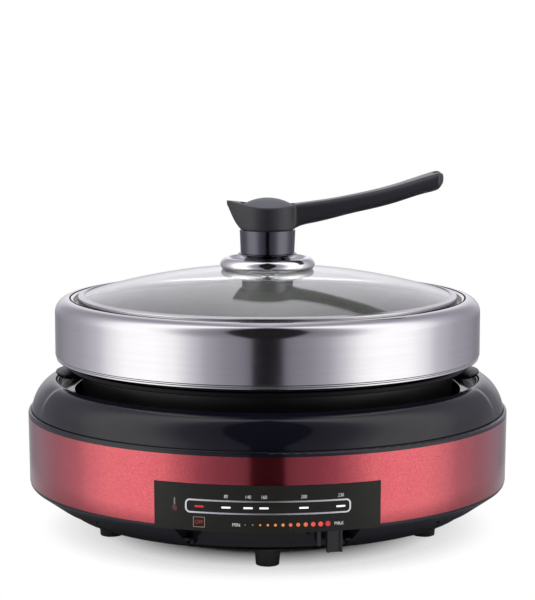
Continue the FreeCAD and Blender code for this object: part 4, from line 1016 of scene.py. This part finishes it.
            radius = smallest + share * (largest - smallest)
            circle = np.column_stack([self._place_deg(degrees) + radius * np.cos(angle),
                                      self.dots_z + radius * np.sin(angle)])
            self._print(f"print_dot_{i:02d}", circle, ink)
        stem = self._rounded_box(self._place_deg(self.sign_deg), self.sign_z, *self.sign_size, 32)
        self._print("print_stem", stem, Finish.GREY_INK)


@dataclass
class Pot(Assembly):
    """Lift-out pan with its steel collar and grips."""

    body: str = "pot"

    floor: float = 64.0
    wall: float = 2.2
    radius: float = 139.6
    rest: float = 169.5
    collar_radius: float = 159.3
    collar_low: float = 129.4
    collar_top: float = 174.6
    collar_round: float = 10.4
    collar_inside: float = 145.4
    bead_low: float = 122.9
    grip_half: float = 26.0
    grip_round: float = 40.0
    grip_low: float = 115.2

    def _pan(self) -> bpy.types.Object:
        """Deep pan with a rounded corner and the ledge for lid and collar."""
        r, top, wall = self.radius, self.rest, self.wall
        return turned_piece("deep_pan", [
            (0, self.floor, 0), (r - 0.6, self.floor, 18), (r, top - 4, 0), (r + 7, top - 1.6, 0.3),
            (r + 7, top, 0.4), (r - wall + 1.0, top, 0.9), (r - wall, top - 1.6, 0),
            (r - 0.6 - wall, self.floor + wall, 15.8), (0, self.floor + wall, 0)], Turn.OPEN)

    def _collar(self) -> bpy.types.Object:
        """Steel collar: bead and groove at the bottom, upright wall, round shoulder and the inner hem."""
        r, low, top = self.collar_radius, self.collar_low, self.collar_top
        inside, hem = self.collar_inside, self.rest + 0.3
        return turned_piece("steel_collar", [
            (r - 4.5, low, 0), (r - 1.6, low, 0.2), (r - 0.8, low + 0.8, 0.3), (r - 0.8, low + 1.6, 0.2),
            (r - 1.4, low + 2.3, 0.2), (r - 1.4, low + 2.9, 0.15), (r - 0.3, low + 3.2, 0.15), (r, low + 3.7, 0.2),
            (r, top, self.collar_round), (inside + 2.6, top, 1.5), (inside, top - 1.1, 0.6), (inside, hem, 0),
            (inside + 1, hem, 0), (inside + 1, top - 2.0, 0.3), (inside + 2.8, top - 1.0, 0.5),
            (r - 1, top - 1, self.collar_round - 1), (r - 1, low + 4.4, 0), (r - 2.4, low + 3.6, 0),
            (r - 2.4, low + 1, 0), (r - 4.5, low + 1, 0)], Turn.LOOP, count=360, steps=12)

    def _carrier(self) -> bpy.types.Object:
        """Black moulding under the collar, with its bead, neck and flange."""
        bore, bead, low = self.radius - 0.1, self.radius + 10, self.bead_low
        return turned_piece("collar_carrier", [
            (bore, low, 0), (bead, low, 0.8), (bead, low + 3.2, 0.4), (bead - 1.6, low + 4.2, 0.2),
            (bead - 1.6, low + 7.8, 0), (bead + 7, low + 7.8, 0), (bead + 7, low + 9.8, 0.2),
            (bead - 3, low + 9.8, 0), (bore + 2.2, low + 13.1, 0), (bore, low + 13.1, 0)], Turn.LOOP)

    def _grip(self, side: int, rows: int = 41) -> bpy.types.Object:
        """Side grip: a wedge from the carrier outwards, its tip on a round plan.

        Across the grip, a point of the section keeps its distance from the tip's arc, or lies on the carrier's bore.

        Args:
            side: 1 for +X, -1 for -X.
            rows: Number of sections across the grip.

        Returns:
            The new object.
        """
        y = np.linspace(-self.grip_half, self.grip_half, rows)[:, None]
        tip = self.collar_radius + 0.5 - self.grip_round + np.sqrt(self.grip_round ** 2 - y ** 2)
        bore = np.sqrt((self.radius - 0.1) ** 2 - y ** 2)
        section = [(12.6, self.bead_low), (6.9, self.bead_low - 3.5), (0.3, self.grip_low + 3.0),
                   (0.0, self.grip_low + 1.9), (1.2, self.grip_low), (11.5, self.grip_low)]
        x = np.hstack([bore] + [tip - back for back, _ in section] + [bore])
        z = np.array([self.bead_low, *[height for _, height in section], self.grip_low + 3.2])
        grid = np.stack([side * x, np.broadcast_to(y, x.shape), np.broadcast_to(z, x.shape)], -1)
        return lofted_piece(f"grip_{'right' if side > 0 else 'left'}", grid)

    def build(self) -> None:
        """Builds and dresses the pot."""
        self.place(self._pan(), Finish.NON_STICK, "non_stick", "pan")
        self.place(self._collar(), Finish.BRUSHED_STEEL, "brushed_steel", "steel_ring")
        self.place(self._carrier(), Finish.DEEP_BLACK, "satin_black", "ring_carrier")
        for side, ear in ((1, "ear_right"), (-1, "ear_left")):
            self.place(self._grip(side), Finish.DEEP_BLACK, "satin_black", ear)
        self.keep(Finish.ZINC, "ear_screws")


@dataclass
class Lid(Assembly):
    """Glass lid with its knob and long handle."""

    body: str = "lid"

    top: float = 196.3
    drop: float = 21.2
    glass_radius: float = 140.9
    sheet: float = 3.0
    rest: float = 169.8
    vent_offset: float = 43.0
    vent_bore: float = 3.2
    head_low: float = 224.4
    head_radius: float = 22.5
    beak: float = 30.4
    handle_end: float = 131.4
    cap_seat: float = 239.2
    cap_recess: float = 20.8
    flare_run: float = 15.0
    flare_half: float = 16.4
    tail_round: float = 6.4
    notch_half: tuple[float, float] = (11.0, 10.5)
    upper_line: Line = ((-32, 246.6), (-26, 245.8), (-20, 244.7), (-9, 242.7), (0, 242.2), (10, 242.5), (20, 243.7),
                        (26.7, 244.7), (44.7, 247.2), (62.6, 250.4), (80.6, 254.2), (98.6, 259.0), (116.5, 264.7),
                        (132, 269.4))
    under_line: Line = ((-30.4, 243.4), (-28.7, 239.9), (-25.7, 233.4), (-22.7, 228.6), (-20, 225.8), (-17, 224.6),
                        (-12, 224.4), (0, 224.4), (12, 224.4), (17, 224.5), (22, 226.8), (32.7, 229.8),
                        (44.7, 232.5), (62.6, 237.2), (80.6, 241.4), (98.6, 246.6), (116.5, 252.5), (126, 255.4),
                        (132, 258.9))
    half_line: Line = ((4, 11.0), (30, 10.4), (60, 11.4), (95, 14.6), (118, 17.8), (131.4, 19.6))

    def _ball(self) -> float:
        """Radius of the dome's ball, from its edge and its drop."""
        return (self.glass_radius ** 2 + self.drop ** 2) / (2 * self.drop)

    def _height(self, radius: Array, inset: float = 0.0) -> Array:
        """Height of the dome: the ball's centre plus the root of its radius squared less the distance squared."""
        ball = self._ball()
        return self.top - ball + np.sqrt((ball - inset) ** 2 - np.square(radius))

    def _dome(self) -> bpy.types.Object:
        """Glass dome of even thickness with the knob's hole and the vent's hole."""
        outer = np.linspace(3.2, self.glass_radius, 61)
        inner = np.linspace(self.glass_radius * (1 - self.sheet / self._ball()), 3.2, 61)
        profile = np.vstack([np.column_stack([outer, self._height(outer)]),
                             np.column_stack([inner, self._height(inner, self.sheet)])])
        grid = swept_round(profile, 360)
        dome = mesh_piece("glass_cover", grid, grid_faces(360, len(profile), True, True))
        drill = round_tool(self.vent_bore, 20.0, (0.0, -self.vent_offset, self.top - self.sheet),
                           math.asin(self.vent_offset / self._ball()))
        return carve(dome, drill)

    def _rim(self) -> bpy.types.Object:
        """Steel channel rolled round the edge of the glass."""
        r, low, glass = self.glass_radius + 1.1, self.rest, self.glass_radius
        edge = float(self._height(glass))
        inner = glass - 3.2
        over = float(self._height(inner))
        return turned_piece("lid_channel", [
            (inner + 0.5, low + 0.8, 0), (inner + 1.3, low, 0.2), (r, low, 0.5), (r, edge + 0.9, 0.7),
            (glass - 0.2, edge + 1.05, 0.4), (inner, over + 0.85, 0.2), (inner - 0.1, over + 0.05, 0),
            (glass + 0.05, edge + 0.05, 0), (glass - 0.85, edge - 2.9, 0)], Turn.LOOP, count=360)

    def _handle_sections(self, arc: int = 8) -> Array:
        """Sections of the head, the beak and the long bar, from the beak's tip to the tail.

        Each section is a box with rounded corners between the upper and the lower line. Over the head, half its
        width is the root of the head's radius squared less the distance squared, and runs into the bar's half width
        by the sixth root of the sum of their sixth powers. The beak narrows by the power 0.85. The tail is round.

        Args:
            arc: Number of points in each corner.

        Returns:
            Array of shape (sections, points, 3) in millimetres.
        """
        end, tail = self.handle_end, self.handle_end - self.tail_round
        x = np.concatenate([-self.beak + np.array([0.0, 0.25, 0.7, 1.4, 2.4, 3.6, 5.0, 6.6]),
                            22.0 * np.cos(np.linspace(math.pi, 0.0, 61)), np.linspace(22.6, tail, 90),
                            tail + self.tail_round * np.sin(np.linspace(0.05, 1.53, 14))])
        upper = smooth_line(self.upper_line, x)
        under = np.maximum(smooth_line(self.under_line, x), self.head_low)
        bar = smooth_line(self.half_line, np.maximum(x, self.half_line[0][0]))
        disc = np.sqrt(np.maximum(self.head_radius ** 2 - x ** 2, 0.0))
        flare = self.flare_half * (np.maximum(x + self.beak + 0.02, 0.0) / self.flare_run) ** 0.85
        shrink = np.sqrt(1.0 - np.square(np.clip((x - tail) / (self.tail_round + 0.1), 0.0, 1.0)))
        half = np.where(x < self.flare_run - self.beak, flare, (disc ** 6 + bar ** 6) ** (1 / 6)) * shrink
        tall = 0.5 * (upper - under) * shrink
        edge = np.interp(x, [-self.beak, -25, 14, 30, end], [0.9, 1.8, 1.8, 4.2, 4.8])
        edge = np.minimum(edge, 0.97 * np.minimum(half, tall))
        turn = np.concatenate([np.linspace(0.0, 0.5 * math.pi, arc) + 0.5 * math.pi * q for q in range(4)])
        side = np.repeat([1.0, -1.0, -1.0, 1.0], arc)
        rise = np.repeat([1.0, 1.0, -1.0, -1.0], arc)
        y = np.outer(half - edge, side) + np.outer(edge, np.cos(turn))
        z = 0.5 * (upper + under)[:, None] + np.outer(tall - edge, rise) + np.outer(edge, np.sin(turn))
        return np.stack([np.broadcast_to(x[:, None], y.shape), y, z], -1)

    def _long_handle(self) -> bpy.types.Object:
        """Head and handle in one moulding, with the cap's recess, the screw's bore and well and the notched tail."""
        low, seat, top = self.head_low - 2, self.cap_seat, self.head_low + 38
        bore = turned_piece("bore", [
            (0, low, 0), (2.4, low, 0), (2.4, seat - 5, 0), (4.0, seat - 5, 0), (4.0, seat, 0),
            (self.cap_recess, seat, 0), (self.cap_recess, top, 0), (0, top, 0)], Turn.OPEN)
        notch = round_tool(1.0, 80.0, (self.handle_end + 2.6, 0.0, 260.0))
        notch.scale = (*self.notch_half, 1.0)
        return carve(lofted_piece("long_handle", self._handle_sections()), bore, notch)

    def build(self) -> None:
        """Builds and dresses the lid."""
        self.place(self._dome(), Finish.CLEAR_GLASS, "clear_glass", "glass_dome")
        self.place(self._rim(), Finish.BRIGHT_STEEL, "bright_steel", "lid_rim")
        self.keep(Finish.BRIGHT_STEEL, "steam_vent")
        self.keep(Finish.CHROME, "collar")
        self.keep(Finish.SILICONE, "glass_seal", "lower_seal")
        self.keep(Finish.ZINC, "cup_washer", "knob_screw", "head_screw")
        self.keep(Finish.STEM_BLACK, "knob_stem")
        self.place(self._long_handle(), Finish.HANDLE_BLACK, "satin_black", "lid_handle")
        self.keep(Finish.CAP_GREY, "knob_cap")


@dataclass
class Studio:
    """Pale floor, soft light all round and the photograph's camera.

    Lengths here are metres, and only the lens is in millimetres.
    """

    distance: float = 1.4527
    height: float = 0.356
    tilt_deg: float = 7.251
    lens: float = 116.7
    table_near: float = 0.29
    table_far: float = 0.35
    lean_deg: float = 25.0
    # reaches from the axis, in metres, over which the floor is painted lighter for the camera
    painted_lift_reach: tuple[float, float, float] = (0.088, 0.13, 0.18)
    painted_floor_lift: float = 0.66
    floor_tones: tuple[float, float] = (0.93, 0.95)
    # dark colour painted on the floor for glossy rays, standing in for the shade under the base
    painted_floor_shade_in_gloss: Colour = (0.16, 0.16, 0.17)
    lamp_side: float = 3.0
    lamp_power: float = 150.0
    lamp_place: tuple[float, float, float] = (0.0, -0.9, 2.2)
    horizon_light: float = 0.4
    soft_light: float = 0.9
    low_height: tuple[float, float] = (-0.5, -0.27)
    low_level: float = 0.15
    rear_turn: tuple[float, float] = (2.35, 2.75)
    rear_height: tuple[float, float] = (-0.12, 0.12)
    rear_dimming: float = 0.6
    dim_tint: Colour = (1.02, 0.96, 1.16)
    full_level: float = 1.4
    ring: Line = ((0, 0.012), (7.2, 0.02), (9.0, 0.24), (14, 0.30), (22, 0.36), (32, 0.52), (42, 0.95), (50, 1.40),
                  (62, 1.58), (80, 1.52), (91, 1.20), (101, 0.76), (118, 0.50), (135, 0.40), (150, 0.46), (162, 0.82),
                  (176, 1.1))

    def camera(self) -> None:
        """Camera at the photograph's place."""
        data = bpy.data.cameras.new("camera")
        data.lens = self.lens
        data.sensor_width = 36.0
        data.clip_end = 100.0
        camera = show("camera", data)
        camera.location = (0.0, -self.distance, self.height)
        camera.rotation_euler = (math.radians(90.0 - self.tilt_deg), 0.0, 0.0)
        bpy.context.scene.camera = camera

    def floor(self) -> None:
        """Pale floor with the base's soft shadow: to the camera it clears to the white world outwards from under the
        base, which is painted light that sets where the shadow ends.

        Glossy pieces see only its part close to the base, and see that part in a dark painted colour that stands in
        for the shade under the base.
        """
        mesh = bpy.data.meshes.new("floor")
        mesh.from_pydata([(-30, -30, 0), (30, -30, 0), (30, 30, 0), (-30, 30, 0)], [], [(0, 1, 2, 3)])
        floor = show("floor", mesh)
        material, w, shader = new_material("floor_paint")
        where = w.spot()
        pale = w.blend(w.noise(where, 3.0, 2.0), *(shade((tone, tone, tone)) for tone in self.floor_tones))
        path = w.add("ShaderNodeLightPath")
        glossy = path.outputs["Is Glossy Ray"]
        # painted shade: glossy rays see the floor in a dark colour in place of the shadow under the base
        w.link(w.blend(glossy, pale, shade(self.painted_floor_shade_in_gloss)), shader.inputs["Base Color"])
        shader.inputs["Roughness"].default_value = 0.9
        shader.inputs["Specular IOR Level"].default_value = 0.0
        reach = w.vector("LENGTH", where)
        beyond = w.span(reach, self.table_near, self.table_far, 0.0, 1.0)
        clear = w.add("ShaderNodeBsdfTransparent")
        seen = w.maths("MAXIMUM", path.outputs["Is Camera Ray"], path.outputs["Is Transmission Ray"])
        # painted light: for the camera the floor fades towards the white world between the inner and outer reach,
        # cutting the real shadow short
        inner, middle, outer = self.painted_lift_reach
        painted_lift = w.maths("ADD", w.span(reach, inner, middle, 0.0, self.painted_floor_lift),
                         w.span(reach, middle, outer, 0.0, 1.0 - self.painted_floor_lift))
        faded = w.maths("MAXIMUM", w.maths("MULTIPLY", beyond, glossy), w.maths("MULTIPLY", painted_lift, seen))
        blend = w.add("ShaderNodeMixShader", {0: faded, 1: shader.outputs[0], 2: clear.outputs[0]})
        w.link(blend.outputs[0], material.node_tree.nodes["Material Output"].inputs["Surface"])
        floor.data.materials.append(material)

    def surround(self) -> None:
        """World in three kinds: white to the camera and through glass, soft boxes for gloss, plain light otherwise.

        A box's strength is read from the direction's angle round the vertical axis, counted from the front. The
        boxes lean back: the angle is less by lean_deg times the direction's rise. Dim boxes are tinted, and low
        directions, above all at the back, are dimmer. The plain light grows from the horizon upwards.
        """
        world = bpy.data.worlds.new("studio")
        bpy.context.scene.world = world
        world.use_nodes = True
        tree = world.node_tree
        tree.nodes.clear()
        w = Wiring(tree)
        way = w.add("ShaderNodeTexCoord").outputs["Generated"]
        parts = w.add("ShaderNodeSeparateXYZ", {0: way})
        turn = w.maths("ABSOLUTE", w.maths("ARCTAN2", parts.outputs[0], w.maths("MULTIPLY", parts.outputs[1], -1.0)))
        rise = w.maths("MAXIMUM", parts.outputs[2], 0.0)
        leaned = w.maths("SUBTRACT", turn, w.maths("MULTIPLY", rise, math.radians(self.lean_deg)))
        share = w.maths("DIVIDE", leaned, math.pi, clamp=True)
        ramp = w.add("ShaderNodeValToRGB", {0: share})
        stops = ramp.color_ramp.elements
        peak = max(level for _, level in self.ring)
        for i, (degrees, level) in enumerate(self.ring):
            stop = stops[i] if i < 2 else stops.new(degrees / 180.0)
            stop.position = degrees / 180.0
            plainness = min(level / self.full_level, 1.0)
            stop.color = shade(tuple(tint + (1.0 - tint) * plainness for tint in self.dim_tint), level / peak)
        height = parts.outputs[2]
        behind = w.maths("MULTIPLY", w.span(turn, *self.rear_turn, 0.0, 1.0),
                         w.span(height, *self.rear_height, self.rear_dimming, 0.0))
        low = w.maths("MULTIPLY", w.span(height, *self.low_height, self.low_level, 1.0),
                      w.maths("SUBTRACT", 1.0, behind))
        path = w.add("ShaderNodeLightPath")
        glossy = path.outputs["Is Glossy Ray"]
        seen = w.maths("MAXIMUM", path.outputs["Is Camera Ray"], path.outputs["Is Transmission Ray"])
        boxes = w.maths("MULTIPLY", w.maths("MULTIPLY", low, peak), glossy)
        soft = w.maths("MULTIPLY", w.span(height, 0.0, 0.5, self.horizon_light, self.soft_light),
                       w.maths("SUBTRACT", 1.0, glossy))
        strength = w.maths("MAXIMUM", w.maths("MAXIMUM", seen, soft), boxes)
        colour = w.blend(glossy, shade((1.0, 1.0, 1.0)), ramp.outputs["Color"])
        background = w.add("ShaderNodeBackground", {"Color": colour, "Strength": strength})
        out = w.add("ShaderNodeOutputWorld")
        w.link(background.outputs[0], out.inputs["Surface"])

    def lamps(self) -> None:
        """Broad lamp overhead, kept out of the gloss, that whitens the floor up to the base."""
        data = bpy.data.lights.new("overhead", "AREA")
        data.shape = "RECTANGLE"
        data.size = data.size_y = self.lamp_side
        data.energy = self.lamp_power
        lamp = show(data.name, data)
        lamp.location = self.lamp_place
        lamp.visible_glossy = False

    def build(self) -> None:
        """Sets up the whole studio."""
        self.camera()
        self.floor()
        self.surround()
        self.lamps()
        bpy.context.scene.view_settings.view_transform = "Standard"


def main() -> None:
    """Builds the studio and every assembly in order."""
    logging.basicConfig(level=logging.INFO, format="%(message)s")
    Studio().build()
    shelf = FinishShelf()
    for assembly in (HeatingBase(shelf), SensorCap(shelf), HeatLever(shelf), PanelPrint(shelf), Pot(shelf),
                     Lid(shelf)):
        assembly.build()
    bpy.context.view_layer.update()


if __name__ == "__main__":
    main()
